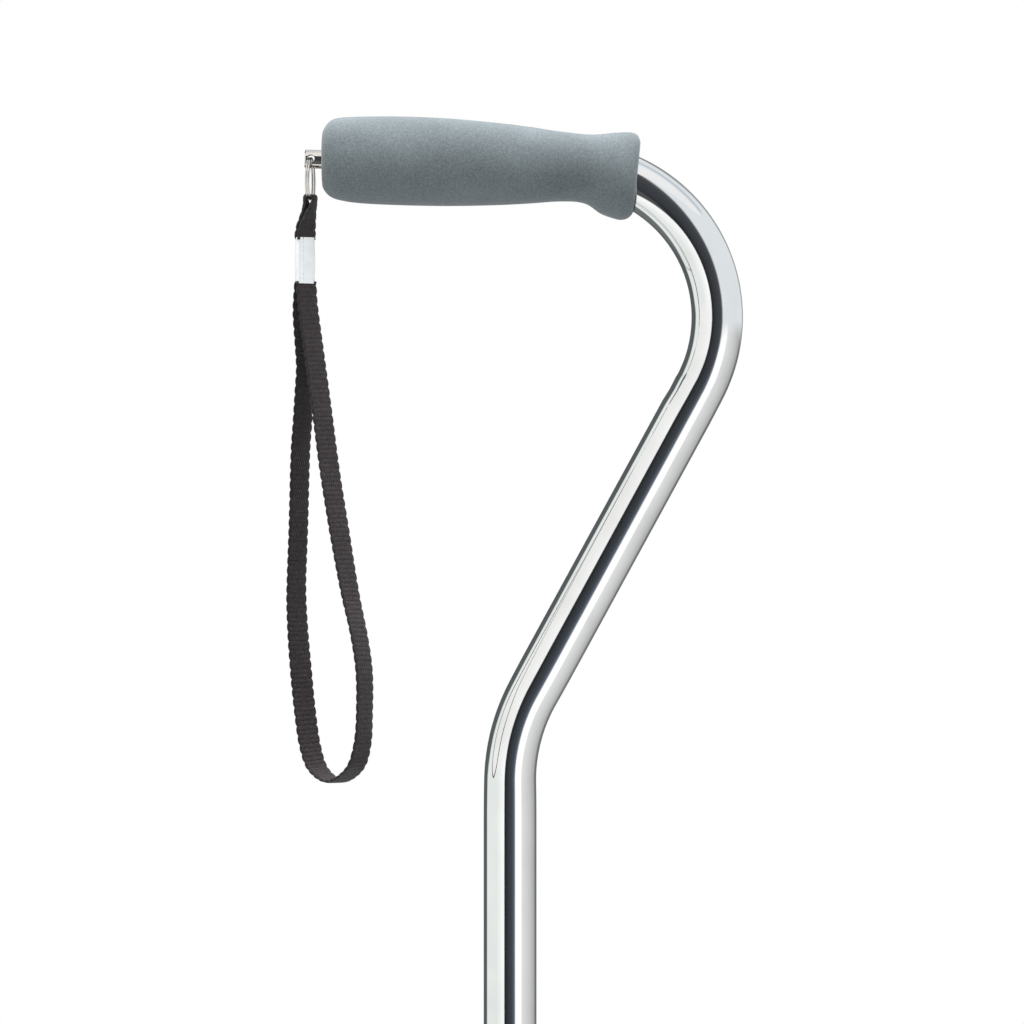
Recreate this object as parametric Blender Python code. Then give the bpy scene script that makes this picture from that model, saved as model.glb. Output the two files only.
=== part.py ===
"""Quad walking cane: bent chrome handle tube with a foam grip and wrist strap,
a height-adjustable shaft, and a four-legged base on rubber tips.

The shaft's axis is X = Y = 0 while pieces are laid out; every piece is then moved by
FRAME_SHIFT, so that the finished cane's box is centred over the floor's origin.
The handle points along -X, its bend along +X, and the wide side of the base is +Y.
"""

import math

import bmesh
import bpy
import numpy as np
from mathutils import Euler, Vector

# ---- shaft and handle tube ----
TUBE_RADIUS = 0.0111
TUBE_WALL = 0.0012
LOWER_RADIUS = TUBE_RADIUS - TUBE_WALL - 0.000375
LOWER_WALL = 0.0012
HANDLE_AXIS_Z = 0.7413
LOWER_CORNER_Z = 0.502
SLANT = math.radians(28.65)
HANDLE_TILT = math.radians(1.8)
LOWER_BEND_RADIUS = 0.078
UPPER_BEND_RADIUS = 0.063
HANDLE_TUBE_BOTTOM = 0.131
HANDLE_TUBE_END_X = -0.0743
LOWER_TUBE_BOTTOM = 0.0625
LOWER_TUBE_TOP = 0.3896
TUBE_SIDES = 24

# ---- height holes, snap button and its spring ----
HOLE_PITCH = 0.0254
HOLE_COUNT = 9
HOLE_RADIUS = 0.0043
BUTTON_RADIUS = 0.0040
BUTTON_Z = 0.3611
BUTTON_PROUD = 0.0016
BUTTON_INNER_X = TUBE_RADIUS - 0.0059
SPRING_THICK = 0.0006
SPRING_WIDTH = 0.0068

# ---- grip and handle end ----
GRIP_END_X = -0.0791
GRIP_WALL_AT_END = 0.0021
GRIP_SIDE_RATIO = 0.94
FIT_GAP = 0.0003
STUD_RADIUS = 0.0039
STUD_TIP_X = -0.0863
STUD_HOLE_X = -0.0838
STUD_HOLE_RADIUS = 0.0017

# ---- split ring and wrist strap ----
RING_RADIUS = 0.0087
RING_WIRE = 0.00085
RING_PITCH = 0.00098
RING_TURN = math.radians(5)
WEB_WIDTH = 0.0095
WEB_THICK = 0.0016
STRAP_TURN = math.radians(55)
FERRULE_TOP = HANDLE_AXIS_Z - 0.0303
FERRULE_BOTTOM = FERRULE_TOP - 0.0194
FERRULE_WIDTH = 0.0082
FERRULE_THICK = 0.0042
STRAP_X = -0.0862

# ---- lock collar ----
COLLAR_BOTTOM = 0.104
COLLAR_TOP = 0.140
SLEEVE_RADIUS = TUBE_RADIUS + 0.0018
COLLAR_RADIUS = SLEEVE_RADIUS + 0.0031
COLLAR_FLUTES = 14

# ---- base ----
HUB_BOTTOM = 0.058
HUB_TOP = 0.1005
HUB_RADIUS = LOWER_RADIUS + 0.0045
LEG_RADIUS = 0.00795
LEG_WALL = 0.0012
LEG_APEX_X = HUB_RADIUS + LEG_RADIUS + 0.00035
LEG_APEX_Z = 0.083
LEG_SHOULDER_Z = 0.079
LEG_BOTTOM = 0.0111
FOOT_X = 0.0685
FOOT_OUTER_Y = 0.137
FOOT_INNER_Y = -0.051
TIP_RADIUS = 0.0140
TIP_HEIGHT = 0.036
TIP_FLOOR = 0.0090
BOLT_RADIUS = 0.0030


def unit(vector):
    return vector / np.linalg.norm(vector)


def fillet(before, corner, after, radius, step):
    """Points of the arc of this radius that rounds a corner, ends included."""
    into, out = unit(corner - before), unit(after - corner)
    turn = math.acos(float(np.clip(into @ out, -1, 1)))
    start = corner - into * radius * math.tan(turn / 2)
    inward = unit(out - into * float(into @ out))
    steps = max(2, math.ceil(turn / step))
    angles = np.linspace(0, turn, steps + 1)[:, None]
    return start + radius * (np.sin(angles) * into + (1 - np.cos(angles)) * inward)


def rounded_path(corners, radii, step=math.radians(7.5)):
    """A path from the first corner to the last, with each one between rounded."""
    corners = [np.array(c, float) for c in corners]
    runs = [corners[:1]]
    for i, radius in enumerate(radii, 1):
        runs.append(fillet(corners[i - 1], corners[i], corners[i + 1], radius, step))
    runs.append(corners[-1:])
    return np.vstack(runs)


def handle_axis_z(x):
    """Height of the handle's straight axis at x."""
    return HANDLE_AXIS_Z - math.tan(HANDLE_TILT) * x


def slant_meets_handle():
    """The corner where the slanted run's line meets the handle's line."""
    rise = math.tan(HANDLE_TILT)
    x = (HANDLE_AXIS_Z - LOWER_CORNER_Z) * math.tan(SLANT)
    x /= 1 + rise * math.tan(SLANT)
    return np.array([x, 0, handle_axis_z(x)])


def handle_path(bottom, end_x):
    """The bent tube's centre line, from the height `bottom` to the handle's end."""
    corners = [
        (0, 0, bottom),
        (0, 0, LOWER_CORNER_Z),
        slant_meets_handle(),
        (end_x, 0, handle_axis_z(end_x)),
    ]
    return rounded_path(corners, [LOWER_BEND_RADIUS, UPPER_BEND_RADIUS])


def bend_outer_x():
    """The outermost x of the upper bend."""
    return handle_path(0, GRIP_END_X)[:, 0].max() + TUBE_RADIUS


FRAME_SHIFT = Vector(
    (
        -(bend_outer_x() + STUD_TIP_X) / 2,
        -(FOOT_OUTER_Y + FOOT_INNER_Y) / 2,
        0,
    )
)


def material(name, colour, metallic, roughness):
    made = bpy.data.materials.new(name)
    made.use_nodes = True
    shader = made.node_tree.nodes["Principled BSDF"]
    shader.inputs["Base Color"].default_value = (*colour, 1)
    shader.inputs["Metallic"].default_value = metallic
    shader.inputs["Roughness"].default_value = roughness
    made.diffuse_color = (*colour, 1)
    return made


def solid(name, points, faces, look, at=(0, 0, 0), turned=(0, 0, 0), sharp=35):
    """An object with this mesh, its normals outward, placed in the cane's frame."""
    mesh = bpy.data.meshes.new(name)
    mesh.from_pydata([tuple(p) for p in points], [], faces)
    work = bmesh.new()
    work.from_mesh(mesh)
    bmesh.ops.recalc_face_normals(work, faces=work.faces)
    work.to_mesh(mesh)
    work.free()
    mesh.shade_smooth()
    mesh.set_sharp_from_angle(angle=math.radians(sharp))
    made = bpy.data.objects.new(name, mesh)
    bpy.context.scene.collection.objects.link(made)
    made.location = Vector(at) + FRAME_SHIFT
    made.rotation_euler = Euler(turned)
    if look:
        mesh.materials.append(look)
    return made


def ring_faces(rings, sides, closed):
    """Quads between neighbouring rings of equal size; closed joins last to first."""
    faces = []
    for i in range(rings if closed else rings - 1):
        a, b = i * sides, (i + 1) % rings * sides
        for k in range(sides):
            n = (k + 1) % sides
            faces.append((a + k, a + n, b + n, b + k))
    return faces


def turned_piece(profile, sides=TUBE_SIDES, flutes=0, flute_depth=0.0):
    """A closed (radius, height) outline turned about Z; flutes only cut the outside."""
    around = np.arange(sides) * 2 * math.pi / sides
    widest = max(r for r, _ in profile)
    points, rows = [], []
    for radius, height in profile:
        if radius == 0:
            rows.append([len(points)])
            points.append((0, 0, height))
            continue
        reach = np.full(sides, radius)
        if flutes and radius > 0.97 * widest:
            reach = radius - flute_depth * (0.5 - 0.5 * np.cos(around * flutes))
        rows.append(list(range(len(points), len(points) + sides)))
        points += [(r * math.cos(a), r * math.sin(a), height) for r, a in zip(reach, around)]
    faces = []
    for low, high in zip(rows, rows[1:] + rows[:1]):
        if len(low) == 1 and len(high) == 1:
            continue
        for k in range(sides):
            n = (k + 1) % sides
            corners = [low[k % len(low)], low[n % len(low)], high[n % len(high)], high[k % len(high)]]
            faces.append(tuple(dict.fromkeys(corners)))
    return points, faces


def frames_along(path, side):
    """Unit tangents of a path, and a sideways direction carried along it."""
    path = np.asarray(path)
    ahead = np.vstack([path[1:] - path[:-1], path[-1:] - path[-2:-1]])
    behind = np.vstack([ahead[:1], ahead[:-1]])
    ahead /= np.linalg.norm(ahead, axis=1)[:, None]
    behind /= np.linalg.norm(behind, axis=1)[:, None]
    tangents = ahead + behind
    tangents /= np.linalg.norm(tangents, axis=1)[:, None]
    sides = []
    for tangent in tangents:
        side = unit(np.asarray(side) - tangent * float(np.dot(tangent, side)))
        sides.append(side)
    return tangents, np.array(sides)


def swept_rings(path, radius, side, sides):
    tangents, across = frames_along(path, side)
    other = np.cross(tangents, across)
    angles = np.arange(sides) * 2 * math.pi / sides
    rings = (
        np.asarray(path)[:, None]
        + radius * np.cos(angles)[None, :, None] * across[:, None]
        + radius * np.sin(angles)[None, :, None] * other[:, None]
    )
    return rings.reshape(-1, 3)


def tube(path, outer, inner, side, sides=TUBE_SIDES):
    """An open-ended pipe along a path, as points and faces."""
    count = len(path)
    outside = swept_rings(path, outer, side, sides)
    inside = swept_rings(path, inner, side, sides)
    around_wall = np.vstack([outside, inside[::1].reshape(count, sides, 3)[::-1].reshape(-1, 3)])
    return around_wall, ring_faces(2 * count, sides, closed=True)


def rod(path, radius, side, sides=TUBE_SIDES):
    """A closed round bar along a path, as points and faces."""
    points = swept_rings(path, radius, side, sides)
    faces = ring_faces(len(path), sides, closed=False)
    faces.append(tuple(range(sides)))
    faces.append(tuple(range(len(points) - sides, len(points))))
    return points, faces


def band(path, widths, width, thick):
    """A flat strip along a path; widths holds the strip's width direction per point."""
    path = np.asarray(path)
    tangents, _ = frames_along(path, (0.3, 0.9, 0.1))
    widths = np.asarray(widths)
    widths = widths - tangents * np.sum(tangents * widths, axis=1)[:, None]
    widths /= np.linalg.norm(widths, axis=1)[:, None]
    normals = np.cross(tangents, widths)
    half_w, half_t = width / 2, thick / 2
    corners = [(1, 1), (-1, 1), (-1, -1), (1, -1)]
    rings = [path + a * half_w * widths + b * half_t * normals for a, b in corners]
    points = np.stack(rings, axis=1).reshape(-1, 3)
    faces = ring_faces(len(path), 4, closed=False)
    faces.append((0, 1, 2, 3))
    faces.append(tuple(range(len(points) - 4, len(points))))
    return points, faces


def cut(target, cutter):
    """Takes a hidden cutter out of a solid."""
    cutter.hide_render = True
    cutter.display_type = "WIRE"
    take = target.modifiers.new(cutter.name, "BOOLEAN")
    take.operation = "DIFFERENCE"
    take.solver = "EXACT"
    take.object = cutter


def bore(target, name, start, end, radius, sides=16):
    """Drills a round hole between two points."""
    along = np.array(end, float) - np.array(start, float)
    side = (0, 1, 0) if abs(unit(along)[1]) < 0.9 else (0, 0, 1)
    points, faces = rod([start, end], radius, side, sides)
    cut(target, solid(name, points, faces, None))


def smooth_through(points, count):
    """A Catmull-Rom curve through the points, resampled at even distances."""
    points = np.asarray(points, float)
    ends = [2 * points[0] - points[1], *points, 2 * points[-1] - points[-2]]
    t = np.linspace(0, 1, 12, endpoint=False)[:, None]
    runs = []
    for a, b, c, d in zip(ends, ends[1:], ends[2:], ends[3:]):
        curve = 2 * b + (c - a) * t + (2 * a - 5 * b + 4 * c - d) * t**2
        runs.append((curve + (3 * b - a - 3 * c + d) * t**3) / 2)
    fine = np.vstack([*runs, points[-1:]])
    length = np.r_[0, np.cumsum(np.linalg.norm(np.diff(fine, axis=0), axis=1))]
    where = np.linspace(0, length[-1], count)
    return np.stack([np.interp(where, length, fine[:, i]) for i in range(3)], axis=1)


# ---- handle and shaft ----


def make_handle_tube(look):
    points, faces = tube(
        handle_path(HANDLE_TUBE_BOTTOM, HANDLE_TUBE_END_X),
        TUBE_RADIUS,
        TUBE_RADIUS - TUBE_WALL,
        (0, 1, 0),
    )
    made = solid("handle_tube", points, faces, look)
    for i in range(HOLE_COUNT):
        z = BUTTON_Z - i * HOLE_PITCH
        bore(made, f"height_holes_{i + 1}", (-HUB_RADIUS, 0, z), (HUB_RADIUS, 0, z), HOLE_RADIUS, 12)


def grip_ring(top_x, above, bottom_x, below, sides):
    """One oval section of the grip; the axis splits it into a top and a bottom half."""
    top = np.array([GRIP_END_X + top_x, 0, 0])
    bottom = np.array([GRIP_END_X + bottom_x, 0, 0])
    share = below / (above + below)
    middle = bottom + (top - bottom) * share
    middle[2] = grip_axis_z(middle[0])
    top[2] = middle[2] + above
    bottom[2] = middle[2] - below
    angles = np.arange(sides) * 2 * math.pi / sides
    up = np.sin(angles)[:, None]
    reach = np.where(up > 0, up * (top - middle), -up * (bottom - middle))
    half_width = GRIP_SIDE_RATIO * (above + below) / 2
    reach[:, 1] = np.cos(angles) * half_width
    return middle + reach


def grip_axis_z(x):
    """Height of the tube's centre line inside the grip, on its bend as well."""
    path = handle_path(0, GRIP_END_X)
    upper = path[path[:, 2] > HANDLE_AXIS_Z - UPPER_BEND_RADIUS]
    order = np.argsort(upper[:, 0])
    return float(np.interp(x, upper[order, 0], upper[order, 2]))


def make_foam_grip(look):
    # distance from the strap end to the section's top, height above the axis there,
    # the same for its bottom, all in metres
    sections = [
        (0.0000, 0.0095, 0.0000, 0.0095),
        (0.0005, 0.0122, 0.0005, 0.0122),
        (0.0029, 0.0160, 0.0029, 0.0147),
        (0.0071, 0.0178, 0.0071, 0.0162),
        (0.0164, 0.0185, 0.0164, 0.0172),
        (0.0332, 0.0191, 0.0332, 0.0175),
        (0.0534, 0.0189, 0.0534, 0.0173),
        (0.0736, 0.0178, 0.0736, 0.0162),
        (0.0870, 0.0166, 0.0870, 0.0150),
        (0.1005, 0.0149, 0.1005, 0.0137),
        (0.1106, 0.0143, 0.1106, 0.0147),
        (0.1173, 0.0153, 0.1173, 0.0176),
        (0.1240, 0.0179, 0.1240, 0.0186),
        (0.1300, 0.0200, 0.1282, 0.0173),
        (0.1328, 0.0198, 0.1303, 0.0147),
        (0.1339, 0.0178, 0.1310, 0.0125),
    ]
    sides = 32
    points = np.vstack([grip_ring(*section, sides) for section in sections])
    faces = ring_faces(len(sections), sides, closed=False)
    faces.append(tuple(range(sides)))
    faces.append(tuple(range(len(points) - sides, len(points))))
    made = solid("foam_grip", points, faces, look, sharp=50)
    path = handle_path(HANDLE_TUBE_BOTTOM, GRIP_END_X + GRIP_WALL_AT_END)
    upper = path[path[:, 2] > HANDLE_AXIS_Z - UPPER_BEND_RADIUS]
    points, faces = rod(upper, TUBE_RADIUS + FIT_GAP, (0, 1, 0))
    cut(made, solid("grip_bore", points, faces, None))
    start = (GRIP_END_X - 0.005, 0, handle_axis_z(GRIP_END_X - 0.005))
    end = (GRIP_END_X + 0.006, 0, handle_axis_z(GRIP_END_X + 0.006))
    bore(made, "grip_stud_hole", start, end, STUD_RADIUS + FIT_GAP)


def along_handle(name, profile, x_end, look, sides=TUBE_SIDES):
    """A turned piece on the handle's axis; its heights run from x_end inwards."""
    points, faces = turned_piece(profile, sides)
    at = (x_end, 0, handle_axis_z(x_end))
    return solid(name, points, faces, look, at, (0, math.pi / 2 + HANDLE_TILT, 0))


def make_handle_end_plug(look):
    hole = STUD_RADIUS + FIT_GAP
    body = TUBE_RADIUS - TUBE_WALL - 0.0004
    flange = TUBE_RADIUS - 0.0001
    thick = 0.0017
    profile = [(hole, 0), (flange, 0), (flange, thick), (body, thick), (body, 0.0180), (hole, 0.0180)]
    x_end = GRIP_END_X + GRIP_WALL_AT_END + FIT_GAP
    along_handle("handle_end_plug", profile, x_end, look)


def make_strap_stud(look):
    inside = 0.0021 + 0.0003 + 0.0180 + 0.0003 + (GRIP_END_X - STUD_TIP_X)
    head = inside + 0.0030
    chamfer = 0.0004
    profile = [
        (0, 0),
        (STUD_RADIUS - chamfer, 0),
        (STUD_RADIUS, chamfer),
        (STUD_RADIUS, inside),
        (0.0062, inside),
        (0.0062, head),
        (0, head),
    ]
    made = along_handle("strap_stud", profile, STUD_TIP_X, look, 24)
    z = handle_axis_z(STUD_HOLE_X)
    start, end = (STUD_HOLE_X, -0.01, z), (STUD_HOLE_X, 0.01, z)
    bore(made, "stud_cross_hole", start, end, STUD_HOLE_RADIUS, 20)


# ---- wrist strap ----


def strap_hang():
    """The split ring's centre, hanging in the stud's cross hole."""
    z = handle_axis_z(STUD_HOLE_X) + RING_WIRE / 2 - RING_RADIUS
    return np.array([STUD_HOLE_X, 0, z])


def make_split_ring(look):
    """Two turns of wire side by side, with their ends at the ring's side."""
    turns = np.linspace(0, 4 * math.pi, 49)
    offset = RING_PITCH * (turns / (2 * math.pi) - 1)
    coil = np.stack([offset, -RING_RADIUS * np.cos(turns), RING_RADIUS * np.sin(turns)], axis=1)
    points, faces = rod(coil, RING_WIRE / 2, (1, 0, 0), 6)
    hinge = np.array([0, 0, RING_RADIUS - RING_WIRE / 2])
    at = strap_hang() + hinge
    solid("split_ring", points - hinge, faces, look, at, (0, 0, -RING_TURN), 60)


def strap_point(across, z, turn=STRAP_TURN):
    """A point of the strap's plane, which is turned about the vertical."""
    return np.array([STRAP_X + across * math.cos(turn), -across * math.sin(turn), z])


def width_direction(turn):
    return np.array([math.sin(turn), math.cos(turn), 0])


def make_strap_eye(look):
    """The small loop over the split ring; it twists from the wire to the strap's plane."""
    bottom = strap_hang() - np.array([0, 0, RING_RADIUS])
    reach = 0.0026
    arch_z = bottom[2] + 0.0008
    turn_at_ring = RING_TURN
    middle, directions = [], []
    lower = [(-0.00095, 0.0003, 1), (-0.00098, 0.0013, 1), (-0.0016, 0.0045, 0.8)]
    lower.append((-0.0025, 0.0100, 0.3))
    for across, rise, twist in lower:
        middle.append((across, FERRULE_TOP + rise, twist))
    for angle in np.linspace(math.pi, 0, 9):
        middle.append((reach * math.cos(angle), arch_z + 0.9 * reach * math.sin(angle), 0.0))
    for across, rise, twist in reversed(lower):
        middle.append((-across, FERRULE_TOP + rise, twist))
    path = []
    for across, z, twist in middle:
        turn = turn_at_ring + twist * (STRAP_TURN - turn_at_ring)
        fall = min(1, max(0, (arch_z - z) / (arch_z - FERRULE_TOP)))
        fall = fall * fall * (3 - 2 * fall)
        centre = np.array([bottom[0] + fall * (STRAP_X - bottom[0]), 0, 0])
        path.append(centre + np.array([across * math.cos(turn), -across * math.sin(turn), z]))
        directions.append(width_direction(turn))
    points, faces = band(path, directions, 0.0074, WEB_THICK)
    hinge = bottom
    solid("strap_eye", points - hinge, faces, look, hinge, sharp=50)


def make_strap_ferrule(look):
    """A flat crimped sleeve round both strands."""
    angles = np.arange(16) * math.pi / 8 + math.pi / 16
    outline = np.sign(np.cos(angles)) * np.abs(np.cos(angles)) ** 0.5
    depth = np.sign(np.sin(angles)) * np.abs(np.sin(angles)) ** 0.5
    wide, deep = width_direction(STRAP_TURN), strap_point(1, 0) - strap_point(0, 0)
    rings = []
    for z in (FERRULE_BOTTOM, FERRULE_TOP):
        section = np.outer(outline * FERRULE_WIDTH / 2, wide)
        section += np.outer(depth * FERRULE_THICK / 2, deep)
        rings.append(section + strap_point(0, z))
    points = np.vstack(rings)
    faces = ring_faces(2, 16, closed=False) + [tuple(range(16)), tuple(range(16, 32))]
    solid("strap_ferrule", points, faces, look)


def make_strap_loop(look):
    """The wrist loop, from the ferrule down one strand and up the other."""
    # millimetres across the strap's plane, and down from the ferrule's lower edge
    left = [(-0.95, 0.3), (-1.4, 12), (-3.4, 42), (-5.0, 72), (-6.6, 102), (-7.6, 128)]
    left += [(-7.0, 144), (-4.6, 160), (-1.5, 178), (3.0, 194), (8.8, 204)]
    foot = [(19.4, 208)]
    right = [(32.0, 202.6), (38.6, 192), (42.2, 178), (43.4, 162), (41.6, 147), (35.8, 130)]
    right += [(28.6, 110), (19.2, 80), (13.0, 54), (6.6, 28), (2.2, 10), (0.95, 0.3)]
    route = [strap_point(s / 1000, FERRULE_BOTTOM - d / 1000) for s, d in left + foot + right]
    path = smooth_through(route, 76)
    directions = np.tile(width_direction(STRAP_TURN), (len(path), 1))
    points, faces = band(path, directions, WEB_WIDTH, WEB_THICK)
    solid("strap_loop", points, faces, look, sharp=50)


# ---- height adjustment ----


def make_lower_tube(look):
    path = [(0, 0, LOWER_TUBE_BOTTOM), (0, 0, LOWER_TUBE_TOP)]
    points, faces = tube(path, LOWER_RADIUS, LOWER_RADIUS - LOWER_WALL, (0, 1, 0))
    made = solid("lower_tube", points, faces, look)
    bore(made, "button_hole", (0.003, 0, BUTTON_Z), (HUB_RADIUS, 0, BUTTON_Z), HOLE_RADIUS)
    hole = BOLT_RADIUS + FIT_GAP
    ends = (-HUB_RADIUS, 0, LEG_APEX_Z), (HUB_RADIUS, 0, LEG_APEX_Z)
    bore(made, "shaft_bolt_hole", *ends, hole)


def make_tube_top_glide(look):
    """The plastic cap that keeps the lower tube from rattling in the handle tube."""
    plug, rim = LOWER_RADIUS - LOWER_WALL - FIT_GAP, LOWER_RADIUS + 0.0001
    floor = LOWER_TUBE_TOP + FIT_GAP
    profile = [
        (0, floor - 0.009),
        (plug, floor - 0.009),
        (plug, floor),
        (rim, floor),
        (rim, floor + 0.0025),
        (rim - 0.0006, floor + 0.0031),
        (0, floor + 0.0031),
    ]
    points, faces = turned_piece(profile)
    solid("tube_top_glide", points, faces, look)


def make_snap_button(look):
    """The round button; its axis is X, and it is pressed in towards -X."""
    tip = TUBE_RADIUS + BUTTON_PROUD - BUTTON_INNER_X
    dome = [(BUTTON_RADIUS * math.cos(a), tip + 0.0016 * (math.sin(a) - 1)) for a in (0, 0.5, 1.0)]
    points, faces = turned_piece([(0, 0), (BUTTON_RADIUS, 0), *dome, (0, tip)], 24)
    solid("snap_button", points, faces, look, (BUTTON_INNER_X, 0, BUTTON_Z), (0, math.pi / 2, 0))


def make_button_spring(look):
    """The bent steel strip inside the lower tube that pushes the button out."""
    front_x = BUTTON_INNER_X - FIT_GAP - SPRING_THICK / 2
    corners = [
        (front_x, 0, BUTTON_Z + 0.007),
        (front_x, 0, BUTTON_Z - 0.009),
        (-0.0010, 0, BUTTON_Z - 0.050),
        (-(LOWER_RADIUS - LOWER_WALL - 0.0016), 0, BUTTON_Z + 0.012),
    ]
    path = rounded_path(corners, [0.010, 0.0024], math.radians(20))
    directions = np.tile((0.0, 1.0, 0.0), (len(path), 1))
    points, faces = band(path, directions, SPRING_WIDTH, SPRING_THICK)
    solid("button_spring", points, faces, look)


def make_thread_sleeve(look):
    """The nylon sleeve on the handle tube's lower end, which the lock collar turns on."""
    upper = TUBE_RADIUS + FIT_GAP
    lower = LOWER_RADIUS + 0.0004
    step = HANDLE_TUBE_BOTTOM - FIT_GAP
    profile = [
        (lower, 0.1180),
        (SLEEVE_RADIUS, 0.1180),
        (SLEEVE_RADIUS, 0.1440),
        (SLEEVE_RADIUS - 0.0005, 0.1450),
        (upper, 0.1450),
        (upper, step),
        (lower, step),
    ]
    points, faces = turned_piece(profile)
    solid("thread_sleeve", points, faces, look)


def make_compression_ring(look):
    inner = LOWER_RADIUS + FIT_GAP
    outer = SLEEVE_RADIUS - FIT_GAP
    profile = [
        (inner, 0.1100),
        (outer - 0.0008, 0.1100),
        (outer, 0.1112),
        (outer, 0.1177),
        (inner, 0.1177),
    ]
    points, faces = turned_piece(profile)
    solid("compression_ring", points, faces, look)


def make_locking_collar(look):
    lip, clear = LOWER_RADIUS + 0.0005, SLEEVE_RADIUS + FIT_GAP
    profile = [
        (lip, COLLAR_BOTTOM),
        (COLLAR_RADIUS - 0.0012, COLLAR_BOTTOM),
        (COLLAR_RADIUS, COLLAR_BOTTOM + 0.0012),
        (COLLAR_RADIUS, COLLAR_TOP - 0.0060),
        (COLLAR_RADIUS - 0.0018, COLLAR_TOP),
        (clear, COLLAR_TOP),
        (clear, 0.1097),
        (lip, 0.1097),
    ]
    points, faces = turned_piece(profile, 4 * COLLAR_FLUTES, COLLAR_FLUTES, 0.0011)
    solid("locking_collar", points, faces, look)


# ---- base ----


def make_base_hub(look):
    """A cup for the lower tube, with a grooved saddle for each leg tube."""
    inner = LOWER_RADIUS + FIT_GAP
    floor = LOWER_TUBE_BOTTOM - FIT_GAP
    profile = [
        (0, HUB_BOTTOM),
        (HUB_RADIUS - 0.001, HUB_BOTTOM),
        (HUB_RADIUS, HUB_BOTTOM + 0.001),
        (HUB_RADIUS, HUB_TOP - 0.001),
        (HUB_RADIUS - 0.001, HUB_TOP),
        (inner, HUB_TOP),
        (inner, floor),
        (0, floor),
    ]
    points, faces = turned_piece(profile, 32)
    made = solid("base_hub", points, faces, look)
    for name, way in (("front", 1), ("rear", -1)):
        near, far = way * (HUB_RADIUS - 0.0020), way * (HUB_RADIUS + 0.0056)
        low, high = LEG_APEX_Z - 0.0125, LEG_APEX_Z + 0.0125
        block = [(x, y, z) for x in (near, far) for y in (-0.009, 0.009) for z in (low, high)]
        sides = [(0, 1, 3, 2), (4, 6, 7, 5), (0, 4, 5, 1), (2, 3, 7, 6), (0, 2, 6, 4), (1, 5, 7, 3)]
        saddle = solid(f"{name}_saddle", block, sides, None)
        saddle.hide_render = True
        saddle.display_type = "WIRE"
        join = made.modifiers.new(saddle.name, "BOOLEAN")
        join.operation = "UNION"
        join.solver = "EXACT"
        join.object = saddle
        x = way * LEG_APEX_X
        start, end = (x, -0.03, LEG_APEX_Z), (x, 0.03, LEG_APEX_Z)
        bore(made, f"{name}_groove", start, end, LEG_RADIUS + FIT_GAP, 28)
    hole = BOLT_RADIUS + FIT_GAP
    ends = (-LEG_APEX_X, 0, LEG_APEX_Z), (LEG_APEX_X, 0, LEG_APEX_Z)
    bore(made, "hub_bolt_hole", *ends, hole)


def make_leg_tube(name, way, look):
    """One bent tube with a foot at each end, its middle in the hub's saddle."""
    corners = [
        (way * FOOT_X, FOOT_OUTER_Y, LEG_BOTTOM),
        (way * FOOT_X, FOOT_OUTER_Y, LEG_SHOULDER_Z),
        (way * LEG_APEX_X, 0.020, LEG_APEX_Z),
        (way * LEG_APEX_X, -0.020, LEG_APEX_Z),
        (way * FOOT_X, FOOT_INNER_Y, LEG_SHOULDER_Z),
        (way * FOOT_X, FOOT_INNER_Y, LEG_BOTTOM),
    ]
    path = rounded_path(corners, [0.026, 0.020, 0.018, 0.022], math.radians(12))
    points, faces = tube(path, LEG_RADIUS, LEG_RADIUS - LEG_WALL, (1, 0, 0), 16)
    made = solid(name, points, faces, look)
    near, far = way * (LEG_APEX_X - 0.012), way * (LEG_APEX_X + 0.012)
    start, end = (near, 0, LEG_APEX_Z), (far, 0, LEG_APEX_Z)
    bore(made, f"{name}_bolt_hole", start, end, BOLT_RADIUS + FIT_GAP)


def make_tip(name, x, y, look):
    """A rubber ferrule over a leg's end, wider where it meets the floor."""
    hole = LEG_RADIUS + FIT_GAP
    profile = [
        (0, 0),
        (TIP_RADIUS, 0),
        (TIP_RADIUS, 0.0040),
        (0.0122, 0.0085),
        (0.0114, 0.0200),
        (0.0107, TIP_HEIGHT - 0.001),
        (0.0100, TIP_HEIGHT),
        (hole, TIP_HEIGHT),
        (hole, TIP_FLOOR),
        (0, TIP_FLOOR),
    ]
    points, faces = turned_piece(profile, 24)
    solid(name, points, faces, look, (x, y, 0))


def make_tip_washer(name, x, y, look):
    """The steel disc that keeps the leg's edge from cutting through the rubber."""
    low, high = TIP_FLOOR + FIT_GAP, LEG_BOTTOM - FIT_GAP
    points, faces = turned_piece([(0, low), (0.0077, low), (0.0077, high), (0, high)], 20)
    solid(name, points, faces, look, (x, y, 0))


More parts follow.
